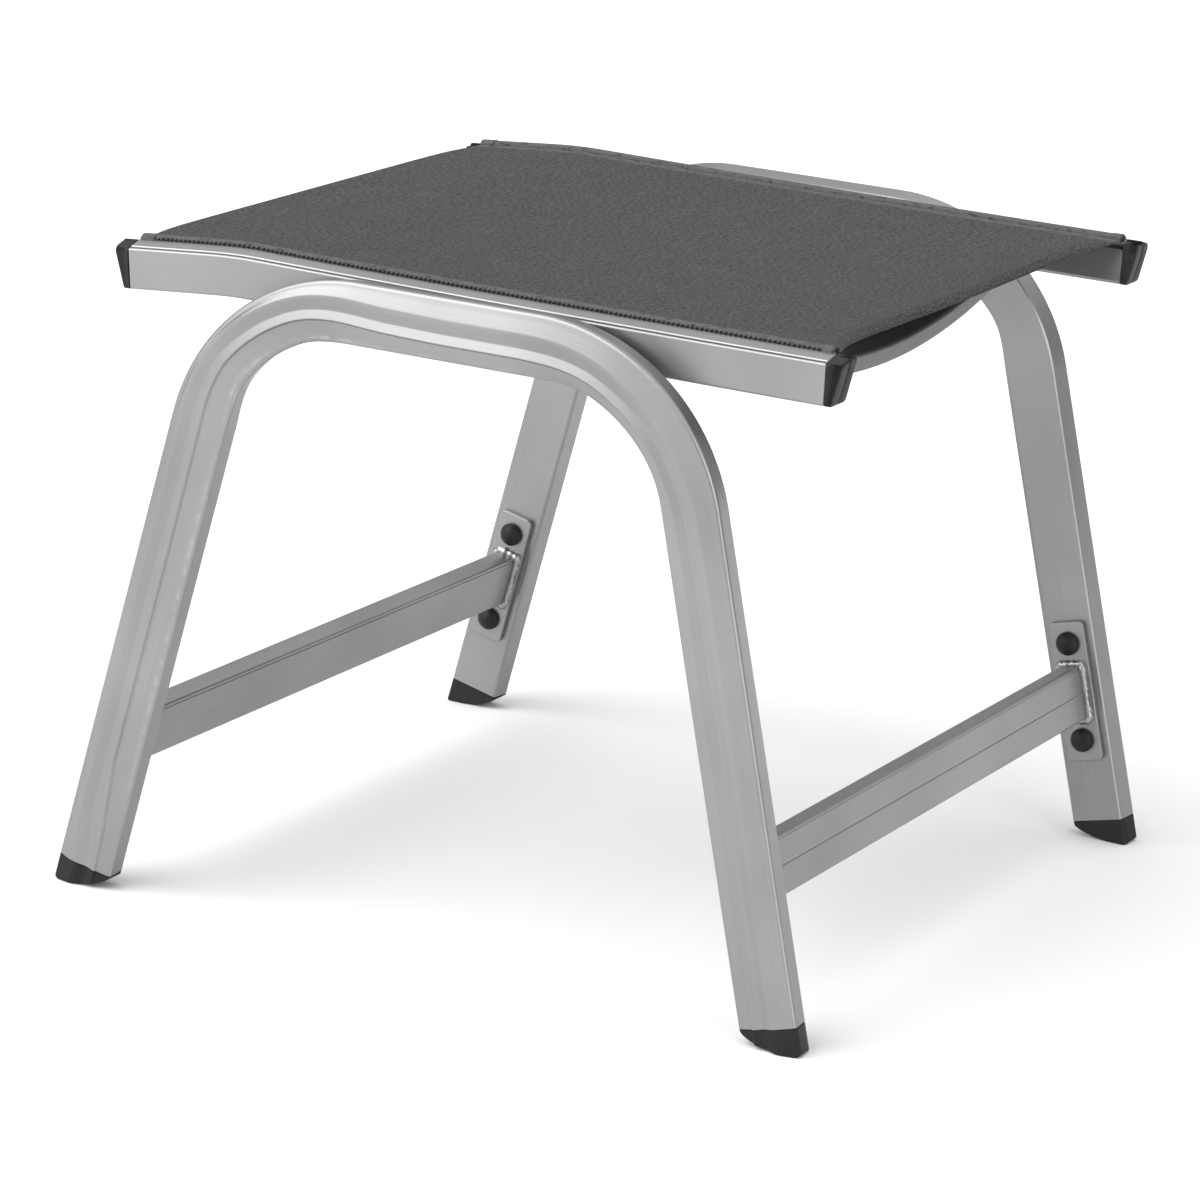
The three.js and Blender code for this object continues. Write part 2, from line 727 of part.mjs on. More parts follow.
// Everything on the front frame; the back one is the same turned about the middle
function addSide(sideName, flip) {
  const side = new THREE.Group();
  side.applyMatrix4(sideMatrix());
  side.add(meshOf(`leg_frame_${sideName}`, legFrameGeometry(flip), 'aluminium'));
  for (const hand of [-1, 1]) {
    const corner = `${sideName}_${handNames[hand * flip]}`;
    const leg = new THREE.Group();
    leg.applyMatrix4(legMatrix(hand));
    leg.add(meshOf(`foot_cap_${corner}`, footCapGeometry(hand), 'plastic'));
    leg.add(meshOf(`stretcher_plate_${corner}`, plateGeometry(hand), 'aluminium'));
    boltPlaces.forEach((place, i) => {
      const name = `${corner}_${['lower', 'upper'][i]}`;
      const nutPlace = profileDepth - profileWall - gap;
      const shank = plateFront + gap - nutPlace + nutHeight + boltTail;
      const boltShape = boltGeometry(boltHeadRadius, boltHeadHeight, shank);
      const bolt = meshOf(`plate_bolt_${name}`, boltShape, 'steel');
      bolt.position.set(0, plateFront + gap, place);
      const cap = meshOf(`bolt_cap_${name}`, boltCapGeometry(), 'plastic');
      cap.position.set(0, plateFront + gap, place);
      const nut = meshOf(`plate_nut_${name}`, nutGeometry(), 'steel');
      nut.position.set(0, nutPlace, place);
      leg.add(bolt, cap, nut);
    });
    side.add(leg);
  }
  const turnedSide = new THREE.Group();
  turnedSide.rotation.z = flip > 0 ? 0 : Math.PI;
  turnedSide.add(side);
  stool.add(turnedSide);
}
addSide('front', 1);
addSide('back', -1);

// Stretchers, whose ends stop just off the plates
function stretcherOutline() {
  const outline = roundedRectangle(stretcherWidth, stretcherHeight, stretcherCorner, THREE.Shape);
  const bore = roundedRectangle(
    stretcherWidth - 2 * stretcherWall,
    stretcherHeight - 2 * stretcherWall,
    stretcherCorner / 2,
    THREE.Path,
  );
  outline.holes.push(bore);
  return outline;
}

function stretcherGeometry(hand) {
  const middle = new THREE.Vector3(-hand * stretcherInset, plateFront, stretcherPlace);
  middle.applyMatrix4(sideMatrix().multiply(legMatrix(hand)));
  const turn = new THREE.Matrix4().makeRotationY(-hand * legLean);
  const top = middle.z + stretcherHeight / 2;
  const end = backFace(top, plateFront) - gap;
  const station = (y) => (x, z) => {
    const place = new THREE.Vector3(x, y, z).applyMatrix4(turn);
    return place.add(new THREE.Vector3(middle.x, 0, middle.z));
  };
  const bar = sweep(stretcherOutline(), [station(-end), station(end)]);
  const tools = [-1, 1].map((face) => {
    const groove = new THREE.Shape();
    const surface = (face * stretcherWidth) / 2;
    groove.moveTo(surface + face * stretcherGrooveDepth, -stretcherGroove);
    groove.lineTo(surface + face * stretcherGrooveDepth, stretcherGroove);
    groove.lineTo(surface - face * stretcherGrooveDepth, 0);
    return sweep(groove, [station(-end - overrun), station(end + overrun)]);
  });
  return cut(bar, tools);
}

for (const hand of [-1, 1]) {
  stool.add(meshOf(`stretcher_${handNames[hand]}`, stretcherGeometry(hand), 'aluminium'));
  stool.add(meshOf(`spreader_bar_${handNames[hand]}`, spreaderGeometry(hand), 'aluminium'));
}

// Seat: rails, caps, rods, fabric, and the screws and spacers that hold the rails to the frames
function frameScrew(name, side, x) {
  const z = railUnderside(x) + screwRise;
  const nutPlace = backFace(z, profileDepth) + profileWall + 2 * gap;
  const shank = nutPlace - railInner + gap + nutHeight + boltTail;
  const screwShape = boltGeometry(screwHeadRadius, screwHeadHeight, shank);
  const screw = meshOf(`frame_screw_${name}`, screwShape, 'steel');
  screw.position.set(x, side * (railInner - gap), z);
  screw.rotation.x = side < 0 ? 0 : Math.PI;
  const nut = meshOf(`frame_nut_${name}`, nutGeometry(), 'steel');
  nut.position.set(x, side * nutPlace, z);
  nut.rotation.x = side < 0 ? 0 : Math.PI;
  const spacerEnd = backFace(z + spacerRadius, profileDepth) - gap;
  const outline = roundOutline(0, 0, spacerRadius, domeSides, THREE.Shape);
  outline.holes.push(roundOutline(0, 0, boltRadius + gap, roundSides, THREE.Path));
  const ends = [railOuter + gap, spacerEnd].map((end) => {
    return (u, v) => new THREE.Vector3(x + u, side * end, z + v);
  });
  stool.add(screw, nut, meshOf(`rail_spacer_${name}`, sweep(outline, ends), 'plastic'));
}

for (const side of [-1, 1]) {
  const sideName = side < 0 ? 'front' : 'back';
  stool.add(meshOf(`seat_rail_${sideName}`, railGeometry(side), 'aluminium'));
  stool.add(meshOf(`keder_rod_${sideName}`, rodGeometry(side), 'plastic'));
  for (const hand of [-1, 1]) {
    const name = `${sideName}_${handNames[hand]}`;
    stool.add(meshOf(`rail_cap_${name}`, railCapGeometry(side, hand), 'plastic'));
    frameScrew(name, side, (hand * screwSpread) / 2);
  }
}
stool.add(meshOf('seat_sling', slingGeometry(), 'cloth'));

export default stool;
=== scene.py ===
import bpy
import bmesh
import math
from mathutils import Matrix, Vector, noise


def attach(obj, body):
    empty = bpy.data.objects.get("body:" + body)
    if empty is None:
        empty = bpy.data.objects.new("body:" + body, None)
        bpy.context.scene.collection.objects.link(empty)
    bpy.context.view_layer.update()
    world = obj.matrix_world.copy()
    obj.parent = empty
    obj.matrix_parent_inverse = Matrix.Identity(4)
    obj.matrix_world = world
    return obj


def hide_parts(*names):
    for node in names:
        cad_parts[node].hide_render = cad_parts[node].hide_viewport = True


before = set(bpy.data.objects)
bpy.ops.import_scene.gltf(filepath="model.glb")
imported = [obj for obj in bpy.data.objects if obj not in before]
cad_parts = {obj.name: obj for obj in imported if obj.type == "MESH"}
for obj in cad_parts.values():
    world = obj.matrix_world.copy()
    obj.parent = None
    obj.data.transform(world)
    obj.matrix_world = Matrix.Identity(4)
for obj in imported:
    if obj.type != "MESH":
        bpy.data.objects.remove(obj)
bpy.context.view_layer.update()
print("frame loaded,", len(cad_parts), "nodes")

# Lengths are in millimetres until a piece is finished.
toMetres = 0.001
sameSpot = 1e-4  # points nearer than this are one point
xAxis, yAxis, zAxis = Vector((1, 0, 0)), Vector((0, 1, 0)), Vector((0, 0, 1))
sides = (("front", -1), ("back", 1))
handNames = {-1: "left", 1: "right"}

camera = {"eye": (1.37886, -2.61173, 1.00551), "aim": (0.01869, -0.06707, 0.18416),
          "rollDegrees": 3.0483, "lens": 151.916, "farClip": 50}


def axes(x, y, z, origin):
    # a matrix from three directions and a place
    rows = [(x[i], y[i], z[i], origin[i]) for i in range(3)]
    return Matrix(rows + [(0, 0, 0, 1)])


def addObject(name, data):
    made = bpy.data.objects.new(name, data)
    bpy.context.scene.collection.objects.link(made)
    return made


def placeCamera():
    eye, aim = Vector(camera["eye"]), Vector(camera["aim"])
    roll = math.radians(camera["rollDegrees"])
    back = (eye - aim).normalized()
    level = zAxis.cross(back).normalized()
    right = level * math.cos(roll) + back.cross(level) * math.sin(roll)
    data = bpy.data.cameras.new("photoCamera")
    data.lens = camera["lens"]
    data.clip_end = camera["farClip"]
    eyepiece = addObject("photoCamera", data)
    eyepiece.matrix_world = axes(right, back.cross(right), back, eye)
    bpy.context.scene.camera = eyepiece


placeCamera()
print("camera placed")


# Shader helpers: link what is a socket and set what is a value
def feed(tree, node, inputs):
    for key, value in inputs.items():
        if isinstance(value, bpy.types.NodeSocket):
            tree.links.new(value, node.inputs[key])
        else:
            node.inputs[key].default_value = value
    return node


def put(tree, kind, inputs, **settings):
    node = tree.nodes.new("ShaderNode" + kind)
    for name, value in settings.items():
        setattr(node, name, value)
    return feed(tree, node, inputs)


def calc(tree, operation, a, b=0.0):
    return put(tree, "Math", {0: a, 1: b}, operation=operation).outputs[0]


def weighed(tree, value, weight):
    return calc(tree, "MULTIPLY", value, weight)


def summed(tree, a, weightA, b, weightB):
    return calc(tree, "ADD", weighed(tree, a, weightA), weighed(tree, b, weightB))


def remap(tree, value, fromLow, fromHigh, toLow, toHigh):
    return put(tree, "MapRange", {"Value": value, "From Min": fromLow, "From Max": fromHigh,
                                  "To Min": toLow, "To Max": toHigh}).outputs["Result"]


def noiseAt(tree, place, scale, detail, roughness=0.5):
    return put(tree, "TexNoise", {"Vector": place, "Scale": scale, "Detail": detail,
                                  "Roughness": roughness}).outputs["Fac"]


def blendColours(tree, share, a, b):
    # the colours of a Mix node are its inputs 6 and 7, and its output 2
    a, b = [colour if isinstance(colour, bpy.types.NodeSocket) else (*colour, 1) for colour in (a, b)]
    return put(tree, "Mix", {0: share, 6: a, 7: b}, data_type="RGBA").outputs[2]


def newGroup(name, inputs, outputs):
    # an input without a number is a place
    group = bpy.data.node_groups.new(name, "ShaderNodeTree")
    for label, value in inputs.items():
        kind = "NodeSocketVector" if value is None else "NodeSocketFloat"
        socket = group.interface.new_socket(label, in_out="INPUT", socket_type=kind)
        if value is not None:
            socket.default_value = value
    for label in outputs:
        group.interface.new_socket(label, in_out="OUTPUT", socket_type="NodeSocketFloat")
    return group, group.nodes.new("NodeGroupInput").outputs, group.nodes.new("NodeGroupOutput")


def speckleGroup():
    # fine grain over broad patches, for metal and plastic alike
    group, given, made = newGroup("speckle", {"Place": None, "Grain Scale": 0.0, "Patch Scale": 0.0},
                                  ("Grain", "Patches"))
    fine = noiseAt(group, given["Place"], given["Grain Scale"], 3.0, 0.6)
    broad = noiseAt(group, given["Place"], given["Patch Scale"], 2.0)
    feed(group, made, {"Grain": fine, "Patches": broad})
    return group


drawLines = {"fineness": 2200.0, "alongScale": 9.0}


def drawLinesGroup():
    # faint lines that the die leaves along an extrusion
    group, given, made = newGroup("drawLines", {"Around": 0.0, "Along": 0.0}, ("Lines",))
    across = weighed(group, given["Around"], drawLines["fineness"])
    down = weighed(group, given["Along"], drawLines["alongScale"])
    place = put(group, "CombineXYZ", {"X": across, "Y": down}).outputs[0]
    feed(group, made, {"Lines": noiseAt(group, place, 1.0, 3.0)})
    return group


wear = {"start": 0.58, "full": 0.8, "scale": 140.0, "keptBelow": 0.42, "rubbedAbove": 0.62, "least": 0.15}


def rubbedEdgeGroup():
    # handling wear on outer corners, broken up by noise
    group, given, made = newGroup("rubbedEdge", {"Place": None, "Start": wear["start"], "Full": wear["full"]},
                                  ("Wear",))
    corner = put(group, "NewGeometry", {}).outputs["Pointiness"]
    patches = noiseAt(group, given["Place"], wear["scale"], 4.0)
    edge = remap(group, corner, given["Start"], given["Full"], 0.0, 1.0)
    broken = remap(group, patches, wear["keptBelow"], wear["rubbedAbove"], wear["least"], 1.0)
    feed(group, made, {"Wear": weighed(group, edge, broken)})
    return group


weave = {"crossingShare": 0.5, "holeBelow": 0.2, "closedAbove": 0.7, "yarnRun": 0.04}


def weaveGroup():
    # plain weave of coated yarns on a flat place in metres; the gap output marks where the yarns part, which
    # the cloth darkens as painted shade
    group, given, made = newGroup("meshWeave", {"Place": None, "Across Pitch": 0.0, "Along Pitch": 0.0},
                                  ("Height", "Yarn", "GapShade"))
    place = put(group, "SeparateXYZ", {0: given["Place"]}).outputs
    across = calc(group, "DIVIDE", place["X"], given["Across Pitch"])
    along = calc(group, "DIVIDE", place["Y"], given["Along Pitch"])
    ridges = []
    for value in (across, along):
        wave = calc(group, "SINE", weighed(group, value, math.pi))
        ridges.append(calc(group, "ABSOLUTE", wave))
    cell = calc(group, "ADD", calc(group, "FLOOR", across), calc(group, "FLOOR", along))
    over = calc(group, "PINGPONG", cell, 1.0)
    humps = []
    for own, other in ((0, 1), (1, 0)):
        swell = weighed(group, ridges[other], weave["crossingShare"])
        humps.append(weighed(group, ridges[own], calc(group, "ADD", swell, 1 - weave["crossingShare"])))
    height = summed(group, humps[0], over, humps[1], calc(group, "SUBTRACT", 1.0, over))
    gapShadeMask = remap(group, calc(group, "ADD", ridges[0], ridges[1]), weave["holeBelow"], weave["closedAbove"],
                 1.0, 0.0)
    cells = put(group, "CombineXYZ", {"X": calc(group, "FLOOR", across),
                                      "Y": weighed(group, along, weave["yarnRun"])}).outputs[0]
    yarn = put(group, "TexWhiteNoise", {"Vector": cells}, noise_dimensions="2D").outputs["Value"]
    feed(group, made, {"Height": height, "Yarn": yarn, "GapShade": gapShadeMask})
    return group


groups = {"speckle": speckleGroup(), "drawLines": drawLinesGroup(), "rubbedEdge": rubbedEdgeGroup(),
          "weave": weaveGroup()}


def useGroup(tree, name, inputs):
    node = tree.nodes.new("ShaderNodeGroup")
    node.node_tree = groups[name]
    return feed(tree, node, inputs).outputs


def startMaterial(name, fixed):
    material = bpy.data.materials.new(name)
    material.use_nodes = True
    tree = material.node_tree
    feed(tree, tree.nodes["Principled BSDF"], fixed)
    return material, tree, put(tree, "TexCoord", {}).outputs["Object"]


def endMaterial(material, recipe, colour, rough, height):
    tree = material.node_tree
    bump = put(tree, "Bump", {"Height": height, "Strength": recipe["relief"],
                              "Distance": recipe["reliefDepth"]}).outputs[0]
    feed(tree, tree.nodes["Principled BSDF"], {"Base Color": colour, "Roughness": rough, "Normal": bump})
    return material


metal = {"light": (0.33, 0.332, 0.337), "dark": (0.235, 0.237, 0.242), "worn": (0.37, 0.37, 0.38),
         "metallic": 0.85, "specular": 0.5, "drawnAnisotropy": 0.25, "grainScale": 1400.0, "patchScale": 9.0,
         "rolledScale": 420.0, "patchShare": 0.6, "lineShare": 0.4, "uneven": 0.08,
         "grainRelief": 0.5, "lineRelief": 0.8, "relief": 0.12, "reliefDepth": 0.0001}
# name, drawn through a die or not, roughness, tint
metalFinishes = {"drawn": ("satinExtrusion", True, 0.36, 1.0),
                 # the spreader's 0.55 tint is painted shade for its place under the seat; its higher
                 # roughness is a duller finish
                 "spreader": ("dullShadedExtrusion", True, 0.45, 0.55),
                 "plate": ("satinPlate", False, 0.38, 1.0), "weld": ("weldMetal", False, 0.3, 1.2)}


def aluminiumMaterial(name, drawn, roughness, tint):
    material, tree, place = startMaterial(name, {
        "Metallic": metal["metallic"], "Specular IOR Level": metal["specular"],
        "Anisotropic": metal["drawnAnisotropy"] if drawn else 0.0})
    speckle = useGroup(tree, "speckle", {"Place": place, "Grain Scale": metal["grainScale"],
                                         "Patch Scale": metal["patchScale"]})
    grain = speckle["Grain"]
    rubbed = useGroup(tree, "rubbedEdge", {"Place": place})["Wear"]
    if drawn:
        lines = useGroup(tree, "drawLines", {
            "Around": put(tree, "Attribute", {}, attribute_name="around").outputs["Fac"],
            "Along": put(tree, "Attribute", {}, attribute_name="along").outputs["Fac"]})["Lines"]
    else:
        lines = noiseAt(tree, place, metal["rolledScale"], 4.0)
    patches = remap(tree, speckle["Patches"], 0.3, 0.7, 0.0, 1.0)
    streaks = remap(tree, lines, 0.25, 0.75, 0.0, 1.0)
    share = summed(tree, patches, metal["patchShare"], streaks, metal["lineShare"])
    light, dark = [tuple(c * tint for c in metal[key]) for key in ("light", "dark")]
    colour = blendColours(tree, rubbed, blendColours(tree, share, dark, light), metal["worn"])
    uneven = summed(tree, grain, metal["uneven"], lines, metal["uneven"])
    rough = calc(tree, "ADD", uneven, roughness - metal["uneven"])
    height = summed(tree, grain, metal["grainRelief"], lines, metal["lineRelief"])
    return endMaterial(material, metal, colour, rough, height)


plastic = {"low": (0.006, 0.006, 0.0065), "high": (0.013, 0.013, 0.0135), "worn": (0.04, 0.04, 0.041),
           "smoothest": 0.42, "roughest": 0.56, "grainScale": 1900.0, "patchScale": 60.0, "wearStart": 0.54,
           "wearFull": 0.66, "relief": 0.35, "reliefDepth": 0.0002, "fixed": {"Specular IOR Level": 0.24}}
steel = {"low": (0.42, 0.425, 0.43), "high": (0.6, 0.6, 0.61), "smoothest": 0.24, "roughest": 0.4,
         "grainScale": 2500.0, "patchScale": 120.0, "relief": 0.2, "reliefDepth": 0.0001,
         "fixed": {"Metallic": 1.0}}


def grainedMaterial(name, recipe):
    material, tree, place = startMaterial(name, recipe["fixed"])
    speckle = useGroup(tree, "speckle", {"Place": place, "Grain Scale": recipe["grainScale"],
                                         "Patch Scale": recipe["patchScale"]})
    colour = blendColours(tree, speckle["Patches"], recipe["low"], recipe["high"])
    if "worn" in recipe:
        rubbed = useGroup(tree, "rubbedEdge", {"Place": place, "Start": recipe["wearStart"],
                                               "Full": recipe["wearFull"]})["Wear"]
        colour = blendColours(tree, rubbed, colour, recipe["worn"])
    rough = remap(tree, speckle["Grain"], 0.3, 0.7, recipe["smoothest"], recipe["roughest"])
    return endMaterial(material, recipe, colour, rough, speckle["Grain"])


# gap is a painted shade colour for the gaps between the yarns
cloth = {"yarnLow": (0.006, 0.006, 0.0062), "yarnHigh": (0.1, 0.1, 0.102), "gap": (0.008, 0.008, 0.008),
         "acrossPitch": 0.00105, "alongPitch": 0.0013, "specular": 0.08, "sheen": 0.04, "sheenRoughness": 0.5,
         "cloudScale": 45.0, "cloudShare": 0.35, "yarnShare": 0.3, "gapShadeShare": 0.7,
         "fleckScale": 620.0, "fleckRun": 0.55, "fleckShare": 0.6, "fleckMiddle": 0.2,
         "weltScale": 480.0, "weltTurn": 0.8, "weltRun": 0.3, "weltMiddle": 0.2,
         "roughLow": 0.85, "roughHigh": 0.62, "fleckRelief": 0.6, "weltRelief": 0.4,
         "relief": 0.7, "reliefDepth": 0.0004}


def clothMaterial():
    material, tree = startMaterial("wovenSeat", {
        "Specular IOR Level": cloth["specular"], "Sheen Weight": cloth["sheen"],
        "Sheen Roughness": cloth["sheenRoughness"]})[:2]
    flat = put(tree, "UVMap", {}, uv_map="cloth").outputs["UV"]
    woven = useGroup(tree, "weave", {"Place": flat, "Across Pitch": cloth["acrossPitch"],
                                     "Along Pitch": cloth["alongPitch"]})
    welt = put(tree, "Attribute", {}, attribute_name="around").outputs["Fac"]
    broad = noiseAt(tree, flat, cloth["cloudScale"], 5.0, 0.7)
    drawn = put(tree, "Mapping", {"Vector": flat, "Scale": (1.0, cloth["fleckRun"], 1.0)}).outputs[0]
    fine = remap(tree, noiseAt(tree, drawn, cloth["fleckScale"], 3.0, 0.6), 0.38, 0.62, 0.0, 1.0)
    slanted = put(tree, "Mapping", {"Vector": flat, "Rotation": (0, 0, cloth["weltTurn"]),
                                    "Scale": (1.0, cloth["weltRun"], 1.0)}).outputs[0]
    coarse = remap(tree, noiseAt(tree, slanted, cloth["weltScale"], 2.0), 0.35, 0.65, 0.3, 1.3)
    share = summed(tree, woven["Yarn"], cloth["yarnShare"], broad, cloth["cloudShare"])
    fleck = calc(tree, "SUBTRACT", fine, cloth["fleckMiddle"])
    share = calc(tree, "ADD", share, weighed(tree, fleck, cloth["fleckShare"]))
    ribs = calc(tree, "SUBTRACT", coarse, cloth["weltMiddle"])
    share = calc(tree, "ADD", share, weighed(tree, welt, ribs))
    colour = blendColours(tree, share, cloth["yarnLow"], cloth["yarnHigh"])
    # painted shade: the gaps between the yarns are darkened towards the gap colour, for the shade between and
    # under the yarns
    colour = blendColours(tree, weighed(tree, woven["GapShade"], cloth["gapShadeShare"]), colour, cloth["gap"])
    rough = remap(tree, woven["Height"], 0.0, 1.0, cloth["roughLow"], cloth["roughHigh"])
    height = calc(tree, "ADD", woven["Height"], weighed(tree, fine, cloth["fleckRelief"]))
    ribs = weighed(tree, coarse, cloth["weltRelief"])
    height = calc(tree, "ADD", height, weighed(tree, welt, ribs))
    return endMaterial(material, cloth, colour, rough, height)


thread = {"low": (0.006, 0.006, 0.006), "high": (0.03, 0.03, 0.03), "specular": 0.3, "twistScale": 600.0,
          "smoothest": 0.6, "roughest": 0.8, "relief": 0.5, "reliefDepth": 0.0002}


def threadMaterial():
    material, tree, place = startMaterial("blackThread", {"Specular IOR Level": thread["specular"]})
    twist = put(tree, "TexWave", {"Vector": place, "Scale": thread["twistScale"], "Distortion": 2.0})
    twist = twist.outputs["Fac"]
    colour = blendColours(tree, twist, thread["low"], thread["high"])
    rough = remap(tree, twist, 0.0, 1.0, thread["smoothest"], thread["roughest"])
    return endMaterial(material, thread, colour, rough, twist)


finishes = {name: aluminiumMaterial(*given) for name, given in metalFinishes.items()}
finishes.update({"plastic": grainedMaterial("grainedPlastic", plastic), "cloth": clothMaterial(),
                 "thread": threadMaterial(), "steel": grainedMaterial("plainSteel", steel)})
slots = {"plastic": "black_plastic", "cloth": "seat_fabric", "thread": "seat_fabric",
         "steel": "fastener_steel", **dict.fromkeys(metalFinishes, "frame_aluminium")}
print("materials made")


# Mesh helpers
def newMesh():
    bm = bmesh.new()
    bm.verts.layers.float.new("around")
    bm.verts.layers.float.new("along")
    return bm


def drawSection(bm, corners, segments=4):
    # a flat outline from its corners, each with the radius that rounds it
    made = [bm.verts.new((x, y, 0)) for x, y, radius in corners]
    bmesh.ops.contextual_create(bm, geom=made)
    for x, y, radius in corners:
        if radius > 0:
            corner = [v for v in bm.verts if (v.co - Vector((x, y, 0))).length < sameSpot]
            bmesh.ops.bevel(bm, geom=corner, affect="VERTICES", offset=radius, segments=segments,
                            profile=0.5, material=-1, clamp_overlap=False)
    bm.faces.ensure_lookup_table()
    face = bm.faces[-1]
    around, length = bm.verts.layers.float["around"], 0.0
    for loop in face.loops:
        loop.vert[around] = length * toMetres
        length += loop.edge.calc_length()
    return face


def carry(bm, face, stations):
    # takes the section from station to station; each station is a matrix
    along, place, length = bm.verts.layers.float["along"], stations[0], 0.0
    bmesh.ops.transform(bm, matrix=place, verts=face.verts[:])
    for station in stations[1:]:
        grown = bmesh.ops.extrude_face_region(bm, geom=[face])["geom"]
        face = next(item for item in grown if isinstance(item, bmesh.types.BMFace))
        before = face.calc_center_median()
        bmesh.ops.transform(bm, matrix=station @ place.inverted(), verts=face.verts[:])
        length += (face.calc_center_median() - before).length
        for vert in face.verts:
            vert[along] = length * toMetres
        place = station
    return face


def eased(station, middle, inset):
    # the same station with its section drawn in a little, for the eased edge at an end
    shift = Matrix.Translation((middle[0], middle[1], 0))
    drawnIn = Matrix.Diagonal((1 - inset / middle[0], 1 - inset / middle[1], 1, 1))
    return station @ shift @ drawnIn @ shift.inverted()


def spread(low, high, steps):
    return [low + (high - low) * i / steps for i in range(steps + 1)]


def quadratic(a, b, c, steps):
    return [a * (1 - t) ** 2 + b * (2 * t * (1 - t)) + c * t * t for t in spread(0, 1, steps)]


def ringEdges(bm, place, radius, count, capped=False):
    grown = bmesh.ops.create_circle(bm, cap_ends=capped, segments=count, radius=radius)["verts"]
    bmesh.ops.transform(bm, matrix=place, verts=grown)
    return list({edge for vert in grown for edge in vert.link_edges})


def halfTurn(axis, turned):
    return Matrix.Rotation(math.pi, 4, axis) if turned else Matrix.Identity(4)


def finishPiece(bm, name, finish, replaced=(), sharpDegrees=38, weighted=True, clean=True):
    if clean:
        bmesh.ops.remove_doubles(bm, verts=bm.verts[:], dist=sameSpot)
        bmesh.ops.recalc_face_normals(bm, faces=bm.faces[:])
    bmesh.ops.scale(bm, vec=(toMetres,) * 3, verts=bm.verts[:])
    mesh = bpy.data.meshes.new(name)
    bm.to_mesh(mesh)
    bm.free()
    mesh.shade_smooth()
    mesh.set_sharp_from_angle(angle=math.radians(sharpDegrees))
    piece = addObject(name, mesh)
    mesh.materials.append(finishes[finish])
    if weighted:
        normals = piece.modifiers.new("evenNormals", "WEIGHTED_NORMAL")
        normals.keep_sharp = True
    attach(piece, "root")
    if replaced:
        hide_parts(*replaced)
    return piece


# Leg frames: one tube bent into an inverted U, in its own plane, then stood on its side of the stool
legs = {"spread": 480, "footSpread": 457.2, "height": 379.6, "leanDegrees": 13.6, "tiltDegrees": 0.77,
        "kneeRadius": 104.9, "kneeDrawShare": 0.06, "kneeEaseShare": 0.3, "width": 36.9, "depth": 19,
        "lift": 13, "endEase": 0.3, "endSteps": (0.35, 6, 30), "plainFrom": 32, "legSteps": 8,
        "kneeSteps": 44, "barSteps": 12}
# across from the outer edge, out from the flat back, rounding
legOutline = [(2.14, 0, 1.7), (35.5, 0, 1.7), (36.9, 14.4, 0.9), (36.0, 15.4, 0.8), (31.5, 16.6, 4.0),
              (27.6, 16.8, 0.4), (26.6, 18.4, 0.5), (20.6, 17.0, 0.7), (13.6, 19, 2.0), (4.0, 16.9, 1.3),
              (0.9, 16.4, 1.1), (0, 14.6, 0.8)]
# how far the ridges lie from their usual place, by the degrees round the left and the right knee
ridgeDrift = {-1: ((-56.5, 0), (-54, -5.5), (8, -5.5), (38, -7.5), (72, -4.5), (100, -1), (119, 0)),
              1: ((-57, 0), (8, 0), (28, 3.5), (60, 3), (95, 0), (119, 0))}
# how much of the drift a place takes, by its distance from the outer edge
driftShare = ((0, 0), (3, 0), (11, 1), (28, 1), (35.5, 0), (40, 0))
legMiddle = (legs["width"] / 2, legs["depth"] / 2)
lean, tilt = math.radians(legs["leanDegrees"]), math.radians(legs["tiltDegrees"])
barPlace = legs["height"] - legs["width"] / 2
kneeHeight = barPlace - legs["kneeRadius"]
kneeReach = legs["footSpread"] / 2 * math.cos(lean) - legs["kneeRadius"] - kneeHeight * math.sin(lean)
kneePlace = kneeReach / math.cos(lean)
frameTop = legs["lift"] + legs["height"] * math.cos(tilt)


def sideMatrix(flip):
    stand = Matrix.Translation((0, -legs["spread"] / 2, legs["lift"])) @ Matrix.Rotation(-tilt, 4, "X")
    return halfTurn("Z", flip < 0) @ stand


def legMatrix(hand):
    return Matrix.Translation((hand * legs["footSpread"] / 2, 0, 0)) @ Matrix.Rotation(-hand * lean, 4, "Y")


def frameStation(x, z, turn, bend=0.0):
    # turn is the angle of the outward direction from +X; a bend draws in the inner side
    out = Vector((math.cos(turn), 0, math.sin(turn)))
    origin = Vector((x, legs["depth"], z)) + out * (legs["width"] / 2)
    return axes(out * (bend * legs["kneeDrawShare"] - 1), -yAxis, Vector((-out.z, 0, out.x)), origin)


def kneePoint(turn):
    return (kneePlace + legs["kneeRadius"] * math.cos(turn), kneeHeight + legs["kneeRadius"] * math.sin(turn))


def frameStations():
    # up the right leg and to the middle of the bar, then the same mirrored
    kneeX, kneeZ = kneePoint(lean)
    foot, kneeFoot = Vector((legs["footSpread"] / 2, 0, 0)), Vector((kneeX, 0, kneeZ))
    upLeg = (kneeFoot - foot).normalized()
    right = [eased(frameStation(foot.x, 0, lean), legMiddle, legs["endEase"])]
    places = [foot + upLeg * height for height in legs["endSteps"]]
    for i in range(1, legs["legSteps"]):
        place = foot.lerp(kneeFoot, i / legs["legSteps"])
        if (place - foot).length > legs["plainFrom"]:
            places.append(place)
    right += [frameStation(place.x, place.z, lean) for place in places]
    for share in spread(0, 1, legs["kneeSteps"]):
        turn = lean + (math.pi / 2 - lean) * share
        near = min(share, 1 - share) / legs["kneeEaseShare"]
        bend = 1 if near > 1 else near * near * (3 - 2 * near)
        right.append(frameStation(*kneePoint(turn), turn, bend))
    for i in range(1, legs["barSteps"] // 2 + 1):
        right.append(frameStation(kneePlace * (1 - 2 * i / legs["barSteps"]), barPlace, math.pi / 2))
    mirror = Matrix.Diagonal((-1, 1, 1, 1))
    return right + [mirror @ station for station in reversed(right[:-1])]


def between(line, place):
    # the value on a line of (place, value) points
    for (x1, y1), (x2, y2) in zip(line, line[1:]):
        if place <= x2:
            return y1 + (y2 - y1) * max(place - x1, 0) / (x2 - x1)
    return line[-1][1]


